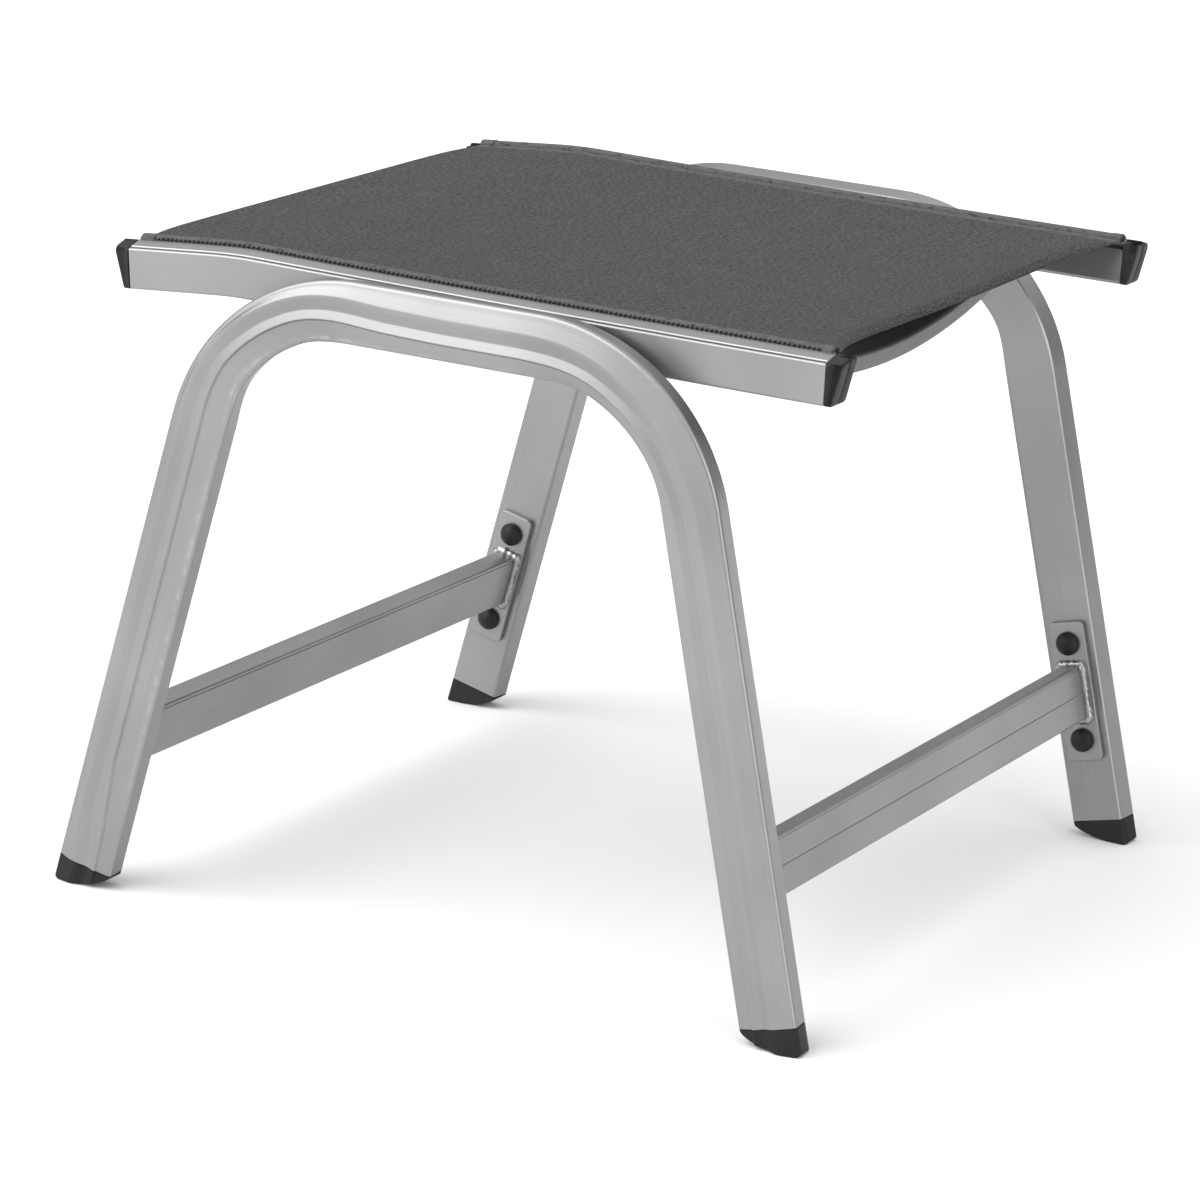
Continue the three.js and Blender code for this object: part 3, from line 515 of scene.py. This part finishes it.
def driftRidges(bm):
    for vert in bm.verts:
        hand = 1 if vert.co.x > 0 else -1
        arm = Vector((hand * vert.co.x - kneePlace, vert.co.z - kneeHeight))
        angle = math.atan2(arm.y, arm.x)
        turn = min(max(angle, lean), math.pi / 2)
        out = Vector((math.cos(turn), math.sin(turn)))
        across = legs["width"] / 2 + legs["kneeRadius"] - arm.dot(out)
        shift = -between(ridgeDrift[hand], math.degrees(angle)) * between(driftShare, across)
        vert.co.x += hand * out.x * shift
        vert.co.z += out.y * shift


def makeLegFrame(sideName, flip):
    bm = newMesh()
    face = drawSection(bm, legOutline)
    carry(bm, face, frameStations())
    driftRidges(bm)
    bmesh.ops.transform(bm, matrix=sideMatrix(flip), verts=bm.verts[:])
    finishPiece(bm, "legFrame_" + sideName, "drawn", ["leg_frame_" + sideName])


for sideName, side in sides:
    makeLegFrame(sideName, -side)
print("leg frames made")


# Foot caps: upright slices from the outer edge to the inner one, between the joint and the rounded sole
sole = {"flatInner": 8.0, "flatOuter": 17.4, "heelRun": 26.5, "heelRise": 9.5, "heelRunShare": 0.868,
        "heelRiseShare": 0.274, "toeRun": 4.4, "toeRise": 6.5, "steps": 14, "edge": 1.1, "topEdge": 0.3,
        "least": 0.35, "joint": 0.5, "ends": (0.03, 0.3), "sliceWidth": 17, "sliceHeight": 11,
        "slices": (0.7, 1.2, 1.7, 2.3, 3, 4.2, 6, 8, 10, 12.4, 15, 17.5, 19.6, 21.5, 24,
                   26.2, 26.9, 28, 30, 31.5, 33, 34.5, 35.5, 36.1)}


def soleLine():
    # the sole in the leg's own axes: across from the outer edge, up from the end of the metal
    inner, outer = Vector((sole["flatInner"], 0)), Vector((sole["flatOuter"], 0))
    run, rise = sole["heelRun"], sole["heelRise"]
    heelBend = Vector((-run * sole["heelRunShare"], rise * sole["heelRiseShare"]))
    heel = quadratic(inner, inner + heelBend, inner + Vector((-run, rise)), sole["steps"])
    toe = quadratic(outer, outer + Vector((sole["toeRun"], 0)),
                    outer + Vector((sole["toeRun"], sole["toeRise"])), sole["steps"])
    line = []
    for point in toe[::-1] + heel:
        out, up = point.x, point.y - legs["lift"]
        line.append((legs["width"] / 2 - out * math.cos(lean) - up * math.sin(lean),
                     up * math.cos(lean) - out * math.sin(lean)))
    return line


def heights(line, across):
    # every height at which a line of points crosses one place
    found = []
    for (x1, y1), (x2, y2) in zip(line, line[1:]):
        if x1 != x2 and (x1 - across) * (x2 - across) <= 0:
            found.append(y1 + (y2 - y1) * (across - x1) / (x2 - x1))
    return found


sectionMesh = newMesh()
legLine = [(v.co.x, v.co.y) for v in drawSection(sectionMesh, legOutline).verts]
legLine.append(legLine[0])
sectionMesh.free()
soleShape = soleLine()
sliceStart = [min(legLine)[0] + step for step in sole["ends"]]
sliceEnd = [max(legLine)[0] - step for step in reversed(sole["ends"])]


def makeFootCap(corner, flip, hand):
    bm = newMesh()
    wide, tall = sole["sliceWidth"], sole["sliceHeight"]
    face = drawSection(bm, [(0, 0, sole["edge"]), (wide, 0, sole["edge"]), (wide, tall, sole["topEdge"]),
                            (0, tall, sole["topEdge"])])
    top, stations = -sole["joint"], []
    for across in (*sliceStart, *sole["slices"], *sliceEnd):
        reach = heights(legLine, across)
        bottom = min(heights(soleShape, across) + [top - sole["least"]])
        origin = Vector((hand * (legs["width"] / 2 - across), legs["depth"] - min(reach), bottom))
        stations.append(axes(-yAxis * (max(reach) - min(reach)) / wide, zAxis * (top - bottom) / tall,
                             -hand * xAxis, origin))
    carry(bm, face, stations)
    stand = Matrix.Translation((0, -legs["spread"] / 2, legs["lift"])) @ legMatrix(hand)
    bmesh.ops.transform(bm, matrix=halfTurn("Z", flip < 0) @ stand, verts=bm.verts[:])
    finishPiece(bm, "footCap_" + corner, "plastic", ["foot_cap_" + corner], 42)


# Rails: an extrusion bowed along its length, with a slot on top for the fabric's edge
rail = {"length": 449.9, "shift": 0.75, "standoff": 4.7, "width": 19, "height": 27.5, "crestDrop": 26.8,
        "crestShare": 0.18, "fall": 2.75, "endSlope": 0.084, "crestBlend": 25, "innerLip": 26, "topEase": 1.6,
        "slot": (12, 15), "slotDepth": 5, "endStep": 0.5, "endEase": 0.45, "steps": 60}
# inwards from the outer face, up from the underside, rounding
railOutline = [(0, 0, 1.6), (19, 0, 2.2), (19, 26, 0.5), (15, 26, 0.4), (15, 21, 0), (12, 21, 0),
               (12, 27.5, 0.5), (3.2, 25.2, 0.12), (2.7, 24.4, 0.2), (2.1, 24.3, 0.2), (1.3, 24.9, 0.5),
               (0, 23.9, 1.0)]
railMiddle = (9.5, 12)
railLeft, railRight = rail["shift"] - rail["length"] / 2, rail["shift"] + rail["length"] / 2
railCrest = railLeft + rail["length"] * rail["crestShare"]


def backFace(height, depth):
    # how far out a place lies that is so deep inside the leaning frame
    return legs["spread"] / 2 - depth / math.cos(tilt) - (height - legs["lift"]) * math.tan(tilt)


railOuter = backFace(frameTop - rail["topEase"], legs["depth"]) - rail["standoff"]
railInner = railOuter - rail["width"]


def underside(x):
    top = frameTop - rail["crestDrop"]
    if x > railCrest:
        share = (railRight - x) / (railRight - railCrest)
        return top - rail["fall"] * (1 - share * share)
    run = railCrest - x
    if run < rail["crestBlend"]:
        return top - rail["endSlope"] * run * run / (2 * rail["crestBlend"])
    return top - rail["endSlope"] * (run - rail["crestBlend"] / 2)


def slope(x):
    if x > railCrest:
        return -2 * rail["fall"] * (railRight - x) / (railRight - railCrest) ** 2
    return rail["endSlope"] * min((railCrest - x) / rail["crestBlend"], 1)


def seatPoint(x, y, h):
    return Vector((x - slope(x) * h, y, underside(x) + h))


def railStation(x, side):
    up, along = Vector((-slope(x), 0, 1)), Vector((1, 0, slope(x)))
    return axes(Vector((0, -side, 0)), up, along, Vector((x, side * railOuter, underside(x))))


def makeRail(sideName, side):
    bm = newMesh()
    face = drawSection(bm, railOutline)
    places = spread(railLeft, railRight, rail["steps"])
    places[1:1] = [railLeft + rail["endStep"]]
    places[-1:-1] = [railRight - rail["endStep"]]
    stations = [railStation(x, side) for x in places]
    for end in (0, -1):
        stations[end] = eased(stations[end], railMiddle, rail["endEase"])
    carry(bm, face, stations)
    finishPiece(bm, "seatRail_" + sideName, "drawn", ["seat_rail_" + sideName])


for sideName, side in sides:
    makeRail(sideName, side)
print("rails made")


# Rail end caps: the rail's outline drawn out to a rounded end that leans back towards its foot
cap = {"reach": 10.8, "fallShare": 0.6, "edge": 2.1, "edgeSteps": 6, "joint": 0.3, "startInset": 0.35,
       "levels": (2.5, 24, 9), "groovePlace": 9.6, "grooveHalf": 1.1, "grooveDepth": 1.3}
capOutline = [(0, 0, 1.8), (19, 0, 2.2), (19, 26, 0.9), (12.6, 26, 0.4), (12, 27.5, 0.7), (2.0, 24.8, 0.4),
              (1.6, 23.9, 0.3), (1.1, 23.8, 0.3), (0, 22.2, 0.6)]


def makeRailCap(corner, side, hand):
    metalEnd = railRight if hand > 0 else railLeft
    bm = newMesh()
    face = drawSection(bm, capOutline)
    length, edge = cap["reach"], cap["edge"]
    levels = [(0, cap["startInset"]), (cap["joint"], 0), (length - edge, 0)]
    for degrees in spread(0, 90, cap["edgeSteps"])[1:]:
        turn = math.radians(degrees)
        levels.append((length - edge + edge * math.sin(turn), edge * (1 - math.cos(turn))))
    carry(bm, face, [eased(Matrix.Translation((0, 0, out)), railMiddle, inset) for out, inset in levels])
    cuts = [((0, h, 0), yAxis) for h in spread(*cap["levels"])]
    cuts += [((cap["groovePlace"] + q * cap["grooveHalf"], 0, 0), xAxis) for q in (-1, 0, 1)]
    for place, across in cuts:
        bmesh.ops.bisect_plane(bm, geom=bm.verts[:] + bm.edges[:] + bm.faces[:], dist=sameSpot,
                               plane_co=place, plane_no=across)
    groove = [v for v in bm.verts if abs(v.co.x - cap["groovePlace"]) < 0.01 and v.co.z > length / 2]
    bmesh.ops.translate(bm, vec=(0, 0, -cap["grooveDepth"]), verts=groove)
    start = railStation(metalEnd, side)
    for vert in bm.verts:
        q, h, out = vert.co
        reach = 1 - cap["fallShare"] * (1 - min(max(h / rail["height"], 0), 1))
        vert.co = start @ Vector((q, h, hand * (cap["joint"] + out * reach)))
    finishPiece(bm, "railCap_" + corner, "plastic", ["rail_cap_" + corner], 44)


# Stretchers: straight tubes with a groove line, their plates, weld beads and bolt caps
stretcher = {"width": 14, "height": 34.2, "corner": 1.5, "place": 84.9, "inset": 0.8, "groove": 0.9,
             "grooveDepth": 0.22, "lineDrop": 3.0, "line": 0.5, "lineDepth": 0.4, "cornerSteps": 3,
             "endSteps": (0, 1, 5), "plainFrom": 12, "steps": 24}
plate = {"place": 85, "length": 90, "width": 23.6, "thickness": 3.5, "corner": 3.5, "cornerSteps": 6,
         "edge": 0.7, "edgeSteps": 3, "gap": 0.3, "boltReach": 31.25}
bead = {"sides": 10, "ripple": 0.16, "ripplePitch": 1.9, "unevenness": 0.6, "lumpScale": 0.2, "step": 1.3}
plateWeld = {"growWidth": 1.6, "growHeight": 1.8, "corner": 1.8, "lift": 0.3, "radius": 2.3}
plateBack = legs["depth"] + plate["gap"]
plateFront = plateBack + plate["thickness"]
boltPlaces = [plate["place"] - plate["boltReach"], plate["place"] + plate["boltReach"]]


def stretcherOutline():
    x, z = stretcher["width"] / 2, stretcher["height"] / 2
    groove, depth = stretcher["groove"], stretcher["grooveDepth"]
    line, lineDepth, high = stretcher["line"], stretcher["lineDepth"], z - stretcher["lineDrop"]
    rightSide = [(x, -z, stretcher["corner"]), (x, -groove, 0.2), (x - depth, 0, 0.2), (x, groove, 0.2),
                 (x, high - line, 0.1), (x - lineDepth, high, 0), (x, high + line, 0.1),
                 (x, z, stretcher["corner"])]
    return rightSide + [(-px, pz, r) for px, pz, r in reversed(rightSide)]


def makeStretcher(handName, hand):
    bm = newMesh()
    face = drawSection(bm, stretcherOutline(), stretcher["cornerSteps"])
    inLeg = Vector((-hand * stretcher["inset"], plateFront, stretcher["place"]))
    middle = sideMatrix(1) @ legMatrix(hand) @ inLeg
    turn = Matrix.Rotation(-hand * lean, 4, "Y") @ Matrix.Rotation(math.pi / 2, 4, "X")
    end = backFace(middle.z + stretcher["height"] / 2, plateFront) - plate["gap"]
    near = [step - end for step in stretcher["endSteps"]]
    inner = end - stretcher["plainFrom"]
    places = [*near, *spread(-inner, inner, stretcher["steps"]), *(-y for y in reversed(near))]
    carry(bm, face, [Matrix.Translation((middle.x, y, middle.z)) @ turn for y in places])
    finishPiece(bm, "stretcher_" + handName + "Tube", "drawn", ["stretcher_" + handName])


def beadAlong(bm, centre, points, radius, seed):
    # an uneven weld bead round a closed path, ring by ring
    path = [centre + point for point in points]
    first = last = None
    for i, here in enumerate(path):
        run = (path[(i + 1) % len(path)] - path[i - 1]).normalized()
        side = run.cross(yAxis).normalized()
        lump = noise.noise(here * bead["lumpScale"] + Vector((seed, 0, 0)))
        swell = 1 + bead["ripple"] * math.sin(i * bead["ripplePitch"] + seed) + bead["unevenness"] * lump
        edges = ringEdges(bm, axes(side, yAxis, run, here), radius * swell, bead["sides"])
        if last:
            bmesh.ops.bridge_loops(bm, edges=last + edges)
            first = first or last
        last = edges
    bmesh.ops.bridge_loops(bm, edges=last + first)


def roundPath(width, height, radius):
    # points round a rectangle with rounded corners, anticlockwise in its plane
    points, x, z = [], width / 2, height / 2
    for cx, cz, start in ((x - radius, z - radius, 0), (radius - x, z - radius, 90),
                          (radius - x, radius - z, 180), (x - radius, radius - z, 270)):
        for turn in spread(start, start + 90, 3):
            angle = math.radians(turn)
            points.append(Vector((cx + radius * math.cos(angle), 0, cz + radius * math.sin(angle))))
    path = []
    for here, ahead in zip(points, points[1:] + points[:1]):
        pieces = max(1, round((ahead - here).length / bead["step"]))
        path += [here.lerp(ahead, i / pieces) for i in range(pieces)]
    return path


def flatOutline(width, height, r):
    x, z = width / 2, height / 2
    return [(x, z, r), (-x, z, r), (-x, -z, r), (x, -z, r)]


def makePlate(corner, flip, hand, seed):
    inPlace = sideMatrix(flip) @ legMatrix(hand)
    bm = newMesh()
    face = drawSection(bm, flatOutline(plate["width"], plate["length"], plate["corner"]),
                       plate["cornerSteps"])
    stand = axes(xAxis, zAxis, -yAxis, Vector((0, plateBack, plate["place"])))
    far = carry(bm, face, [stand, Matrix.Translation((0, plate["thickness"], 0)) @ stand])
    bmesh.ops.bevel(bm, geom=far.edges[:], affect="EDGES", offset=plate["edge"], segments=plate["edgeSteps"],
                    profile=0.5, material=-1)
    bmesh.ops.transform(bm, matrix=inPlace, verts=bm.verts[:])
    finishPiece(bm, "plate_" + corner, "plate", ["stretcher_plate_" + corner])
    weld = newMesh()
    centre = Vector((-hand * stretcher["inset"], plateFront + plateWeld["lift"], stretcher["place"]))
    path = roundPath(stretcher["width"] + plateWeld["growWidth"],
                     stretcher["height"] + plateWeld["growHeight"], plateWeld["corner"])
    beadAlong(weld, centre, path, plateWeld["radius"], seed)
    bmesh.ops.transform(weld, matrix=inPlace, verts=weld.verts[:])
    finishPiece(weld, "weld_" + corner, "weld", [], 60)


def spinPiece(name, finish, profile, place, steps, replaced):
    # a turned piece: (radius, height) points spun round the section's own y axis
    bm = newMesh()
    points = [bm.verts.new((r, h, 0)) for r, h in profile]
    for a, b in zip(points, points[1:]):
        bm.edges.new((a, b))
    bmesh.ops.spin(bm, geom=bm.verts[:] + bm.edges[:], cent=(0, 0, 0), axis=(0, 1, 0), angle=2 * math.pi,
                   steps=steps, use_merge=True, use_duplicate=False)
    bmesh.ops.transform(bm, matrix=place, verts=bm.verts[:])
    return finishPiece(bm, name, finish, replaced)


boltCap = {"steps": 40, "profile": ((0, 1.2), (5.4, 1.2), (5.5, 0), (7.2, 0), (7.5, 0.25), (7.5, 1.6),
                                    (7.3, 2.2), (6.7, 3.1), (5.7, 4.0), (4.4, 4.8), (2.9, 5.35), (1.5, 5.6),
                                    (0, 5.7))}


def makeBoltCap(name, node, flip, hand, place):
    stand = sideMatrix(flip) @ legMatrix(hand) @ Matrix.Translation((0, plateFront + plate["gap"], place))
    spinPiece(name, "plastic", boltCap["profile"], stand, boltCap["steps"], [node])


for sideName, side in sides:
    for hand in (-1, 1):
        corner, seed = sideName + "_" + handNames[-hand * side], 3.1 * hand - side
        makeFootCap(corner, -side, hand)
        makePlate(corner, -side, hand, seed)
        for place, level in zip(boltPlaces, ("lower", "upper")):
            makeBoltCap(f"boltCap_{corner}_{level}", f"bolt_cap_{corner}_{level}", -side, hand, place)
for hand, handName in handNames.items():
    makeStretcher(handName, hand)
for sideName, side in sides:
    for hand, handName in handNames.items():
        makeRailCap(sideName + "_" + handName, side, hand)
print("caps, plates and stretchers made")


# Spreader bars: flat tubes bowed down between the rails, with a bead where each end meets a rail
spreader = {"inset": 61, "width": 20, "height": 12, "corner": 3, "cornerSteps": 5, "dip": 12, "radius": 535,
            "steps": 40, "gap": 0.3, "weldGrow": 1, "weldCorner": 3.5, "weldRadius": 1.3}


def spreaderRise(y):
    return spreader["radius"] - math.sqrt(spreader["radius"] ** 2 - y * y)


def makeSpreader(handName, hand):
    middle = rail["shift"] + hand * (rail["length"] / 2 - spreader["inset"] - spreader["width"] / 2)
    level = underside(middle) - spreader["dip"] - spreader["height"] / 2
    end = railInner - spreader["gap"]
    bm = newMesh()
    face = drawSection(bm, flatOutline(spreader["width"], spreader["height"], spreader["corner"]),
                       spreader["cornerSteps"])
    carry(bm, face, [axes(xAxis, zAxis, -yAxis, Vector((middle, y, level + spreaderRise(y))))
                     for y in spread(-end, end, spreader["steps"])])
    # the spreader finish is darkened as painted shade, standing in for the shade under the seat
    finishPiece(bm, "spreader_" + handName, "spreader", ["spreader_bar_" + handName])
    weld = newMesh()
    path = roundPath(spreader["width"] + spreader["weldGrow"], spreader["height"] + spreader["weldGrow"],
                     spreader["weldCorner"])
    for side in (-1, 1):
        centre = Vector((middle, side * (end - spreader["gap"]), level + spreaderRise(end)))
        beadAlong(weld, centre, path, spreader["weldRadius"], side + 2 * hand)
    finishPiece(weld, "spreaderWeld_" + handName, "weld", [], 60)


for hand, handName in handNames.items():
    makeSpreader(handName, hand)

# Frame screws and the sleeves that hold the rails off the frames
screw = {"spread": 120, "rise": 9, "gap": 0.3, "spacerRadius": 8, "spacerEdge": 0.5, "boltRadius": 3.3,
         "steps": 32, "head": ((0, 1.0), (2.2, 1.0), (2.4, 2.6), (3.4, 2.9), (4.6, 2.4), (5.3, 1.3), (5.5, 0),
                               (3, 0), (3, -6), (0, -6))}


def makeFrameScrew(corner, side, hand):
    x, gap = hand * screw["spread"] / 2, screw["gap"]
    z = underside(x) + screw["rise"]
    stand = Matrix.Translation((x, side * (railInner - gap), z)) @ halfTurn("X", side > 0)
    spinPiece("frameScrew_" + corner, "steel", screw["head"], stand, screw["steps"],
              ["frame_screw_" + corner])
    r, bore, edge = screw["spacerRadius"], screw["boltRadius"], screw["spacerEdge"]
    length = backFace(z + r, legs["depth"]) - gap - railOuter - gap
    sleeve = ((bore, 0), (r - edge, 0), (r, edge), (r, length - edge), (r - edge, length), (bore, length),
              (bore, 0))
    outward = Matrix.Translation((x, side * (railOuter + gap), z)) @ halfTurn("X", side < 0)
    spinPiece("railSpacer_" + corner, "plastic", sleeve, outward, screw["steps"], ["rail_spacer_" + corner])


for sideName, side in sides:
    for hand, handName in handNames.items():
        makeFrameScrew(sideName + "_" + handName, side, hand)
print("spreaders and fasteners made")


# Seat fabric: one sheet across the rails, a welt along each slot, and the free ends folded under as hems
seat = {"setback": 1.0, "leftBow": 8.0, "rightBow": 16.7, "bowReach": 60, "leftLift": 3.0, "droop": 3.8,
        "droopRun": 8, "sag": 3.0, "hem": 12.0, "hemStep": 2.0, "hemSteps": 5, "fold": 1.3, "thickness": 1.0,
        "crown": 3.1, "weltWidth": 6.5, "weltSteps": 9, "weltFoot": 0.5, "lipGap": 1.5, "edgeGap": 1.2,
        "cornerRun": 3, "rows": 110, "columns": 64}
# the turn of a hem: in from the fabric's end, share of the fold's depth
hemTurn = ((0.35, 0.9), (0, 0.5), (0.35, 0.1))
slotMiddle = railOuter - sum(rail["slot"]) / 2
clothTop = rail["innerLip"] + seat["lipGap"]
clothEdge = railInner - seat["edgeGap"]
bowEnd = clothEdge - seat["cornerRun"]
seatLeft, seatRight = railLeft + seat["setback"], railRight - seat["setback"]


def seatSection():
    # half of the section, from the slot over the welt to the middle: across, height over the underside
    outer, inner = slotMiddle + 1.2, slotMiddle + 1.2 - seat["weltWidth"]
    middle, radius = (outer + inner) / 2, (outer - inner) / 2
    foot, crown = rail["height"] + seat["weltFoot"], rail["height"] + seat["crown"]
    half = [(slotMiddle + 0.2, rail["height"] - rail["slotDepth"]), (slotMiddle + 0.6, rail["height"] - 1.5),
            (outer, foot)]
    for i in range(1, seat["weltSteps"]):
        turn = math.pi * i / seat["weltSteps"]
        base = foot + (clothTop - foot) * i / seat["weltSteps"]
        half.append((middle + radius * math.cos(turn), base + (crown - foot) * math.sin(turn) ** 0.8))
    half.append((inner, clothTop + 0.1))
    half.append((clothEdge - 1.0, clothTop - 0.05))
    for share in spread(1, 0, seat["columns"] // 2)[1:]:
        y = (clothEdge - 1.0) * share
        half.append((y, clothTop - seat["sag"] * (1 - (y / clothEdge) ** 2)))
    return half


def seatRows():
    # each row's place along the rails, its share of the droop and its depth under the fold
    fold, run = seat["fold"], seat["droopRun"]
    bend = [(seatRight - run + i, (i / run) ** 1.3) for i in range(1, run)]
    rows = [(seatLeft + seat["hem"] - i * seat["hemStep"], 0, fold) for i in range(1, seat["hemSteps"] + 1)]
    rows += [(seatLeft + back, 0, fold * depth) for back, depth in hemTurn]
    rows += [(x, 0, 0) for x in spread(seatLeft + 2, seatRight - 8.5, seat["rows"])]
    rows += [(x, droop, 0) for x, droop in bend]
    rows += [(seatRight - back, 1, fold * depth) for back, depth in reversed(hemTurn)]
    return rows + [(x, droop, fold) for x, droop in reversed(bend)]


def clothPoint(row, across, h):
    x, droop, under = row
    leftShare = max(0, 1 - (x - seatLeft) / seat["bowReach"]) ** 2
    rightShare = max(0, 1 - (seatRight - x) / seat["bowReach"]) ** 2
    leftEdge = max(1 - (abs(across) / bowEnd) ** 10, 0)
    rightEdge = max(1 - (abs(across) / bowEnd) ** 6, 0)
    bowed = x - seat["leftBow"] * leftShare * leftEdge - seat["rightBow"] * rightShare * rightEdge
    arch = max(1 - (across / clothEdge) ** 2, 0)
    lift = seat["leftLift"] * arch * leftShare - seat["droop"] * droop * rightEdge
    fold = under * (1 if abs(across) < clothEdge - 1.5 else 0.5)
    return seatPoint(bowed, across, h + lift - fold)


def makeSeat():
    half, rows = seatSection(), seatRows()
    line = half + [(-y, h) for y, h in reversed(half[:-1])]
    across = [0.0]
    for a, b in zip(line, line[1:]):
        across.append(across[-1] + math.dist(a, b))
    bm = newMesh()
    flat = bm.loops.layers.uv.new("cloth")
    welt = bm.verts.layers.float["around"]
    verts = [bm.verts.new(clothPoint(rows[0], y, h)) for y, h in line]
    edges = [bm.edges.new(pair) for pair in zip(verts, verts[1:])]
    # each vertex's number in its row, and its place on the flat cloth
    numbers, length, lastRow = {v: i for i, v in enumerate(verts)}, 0.0, rows[0]
    flatPlaces = {v: (across[i], 0.0) for v, i in numbers.items()}
    for row in rows[1:]:
        grown = bmesh.ops.extrude_edge_only(bm, edges=edges)["geom"]
        edges = [g for g in grown if isinstance(g, bmesh.types.BMEdge)]
        length += max(abs(row[0] - lastRow[0]), abs(row[2] - lastRow[2]))
        # each new vertex has the number of the old one that it grew from
        fresh = {}
        for vert in (g for g in grown if isinstance(g, bmesh.types.BMVert)):
            ends = (edge.other_vert(vert) for edge in vert.link_edges)
            fresh[vert] = next(numbers[end] for end in ends if end in numbers)
        for vert, i in fresh.items():
            vert.co = clothPoint(row, *line[i])
            flatPlaces[vert] = (across[i], length)
        lastRow, numbers = row, fresh
    for vert in bm.verts:
        vert[welt] = 1.0 if abs(vert.co.y) > clothEdge - 1.2 else 0.0
    for face in bm.faces:
        for loop in face.loops:
            loop[flat].uv = [place * toMetres for place in flatPlaces[loop.vert]]
    bmesh.ops.recalc_face_normals(bm, faces=bm.faces[:])
    top = max(bm.faces, key=lambda f: f.calc_center_median().z)
    if top.normal.z < 0:
        bmesh.ops.reverse_faces(bm, faces=bm.faces[:])
    piece = finishPiece(bm, "seatSling", "cloth", ["seat_sling"], 60, False, False)
    wall = piece.modifiers.new("clothThickness", "SOLIDIFY")
    wall.thickness = seat["thickness"] * toMetres
    wall.offset = -1.0
    return piece, across[-1], length


sling, flatAcross, flatAlong = makeSeat()


# Stitches: slanting threads over the outer edge of each welt
stitch = {"pitch": 3.0, "radius": 0.62, "slant": 2.2, "sides": 5, "outward": 1.35, "endMargin": 3,
          "endShare": 0.6}
# share of the slant, outwards, up from the rail's top
threadPath = ((0, -0.2, -0.1), (0.4, 0.1, 0.3), (0.8, 0.1, 0.8), (1, -0.3, 1.5))


def makeStitches():
    bm = newMesh()
    outer, last = slotMiddle + stitch["outward"], len(threadPath) - 1
    for side in (-1, 1):
        x = railLeft + stitch["endMargin"]
        while x < railRight - stitch["endMargin"]:
            ring = None
            points = [seatPoint(x + stitch["slant"] * share, side * (outer + out), rail["height"] + up)
                      for share, out, up in threadPath]
            for i, here in enumerate(points):
                run = (points[min(i + 1, last)] - points[max(i - 1, 0)]).normalized()
                sideways = run.cross(xAxis).normalized()
                isEnd = i in (0, last)
                radius = stitch["radius"] * (stitch["endShare"] if isEnd else 1)
                place = axes(sideways, run.cross(sideways), run, here)
                edges = ringEdges(bm, place, radius, stitch["sides"], isEnd)
                if ring:
                    bmesh.ops.bridge_loops(bm, edges=ring + edges)
                ring = edges
            x += stitch["pitch"]
    return finishPiece(bm, "weltStitches", "thread", [], 70, False)


stitches = makeStitches()
print("seat made, flat", round(flatAcross), "by", round(flatAlong), "mm")


# Nodes that keep their CAD mesh get their finish here
steelNodes = ("plate_bolt", "plate_nut", "frame_nut")
for name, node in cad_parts.items():
    if not node.hide_render:
        finish = "steel" if name.startswith(steelNodes) else "plastic"
        node.data.materials.clear()
        node.data.materials.append(finishes[finish])

# Floor, light and surroundings: a lamp has a name, a place, a breadth in degrees and a power,
# and the sky has its levels of light by height
studio = {"floorSize": 30.0, "floorLow": (0.80, 0.80, 0.80), "floorHigh": (0.84, 0.84, 0.84),
          "sky": ((0.0, 0.25), (0.3, 0.38), (0.7, 1.25)),
          "lamps": (("front", (-0.75, -1.0, 0.85), 66, 3.2), ("right", (1.0, -0.5, 0.3), 34, 0.9))}


def makeFloor():
    bm = bmesh.new()
    bmesh.ops.create_grid(bm, x_segments=2, y_segments=2, size=studio["floorSize"] / 2)
    mesh = bpy.data.meshes.new("floor")
    bm.to_mesh(mesh)
    bm.free()
    floor = addObject("floor", mesh)
    material, tree, place = startMaterial("paleFloor", {"Roughness": 0.9, "Specular IOR Level": 0.1})
    patches = noiseAt(tree, place, 1.5, 2.0)
    colour = blendColours(tree, patches, studio["floorLow"], studio["floorHigh"])
    feed(tree, tree.nodes["Principled BSDF"], {"Base Color": colour})
    mesh.materials.append(material)


def makeLights():
    for name, place, breadth, power in studio["lamps"]:
        data = bpy.data.lights.new(name, "SUN")
        data.angle, data.energy = math.radians(breadth), power
        lamp = addObject(name, data)
        lamp.location = place
        lamp.rotation_mode = "QUATERNION"
        lamp.rotation_quaternion = Vector(place).to_track_quat("Z", "Y")
    world = bpy.data.worlds.new("studio")
    bpy.context.scene.world = world
    world.use_nodes = True
    tree = world.node_tree
    height = put(tree, "SeparateXYZ", {0: put(tree, "TexCoord", {}).outputs["Generated"]}).outputs["Z"]
    ramp = put(tree, "ValToRGB", {"Fac": height})
    stops = ramp.color_ramp.elements
    low, middle, high = studio["sky"]
    stops[0].position, stops[1].position = low[0], high[0]
    stops.new(middle[0])
    for stop, sky in zip(stops, studio["sky"]):
        stop.color = (sky[1], sky[1], sky[1], 1)
    tree.links.new(ramp.outputs["Color"], tree.nodes["Background"].inputs["Color"])
    bpy.context.scene.view_settings.view_transform = "Standard"


makeFloor()
makeLights()
print("studio made")
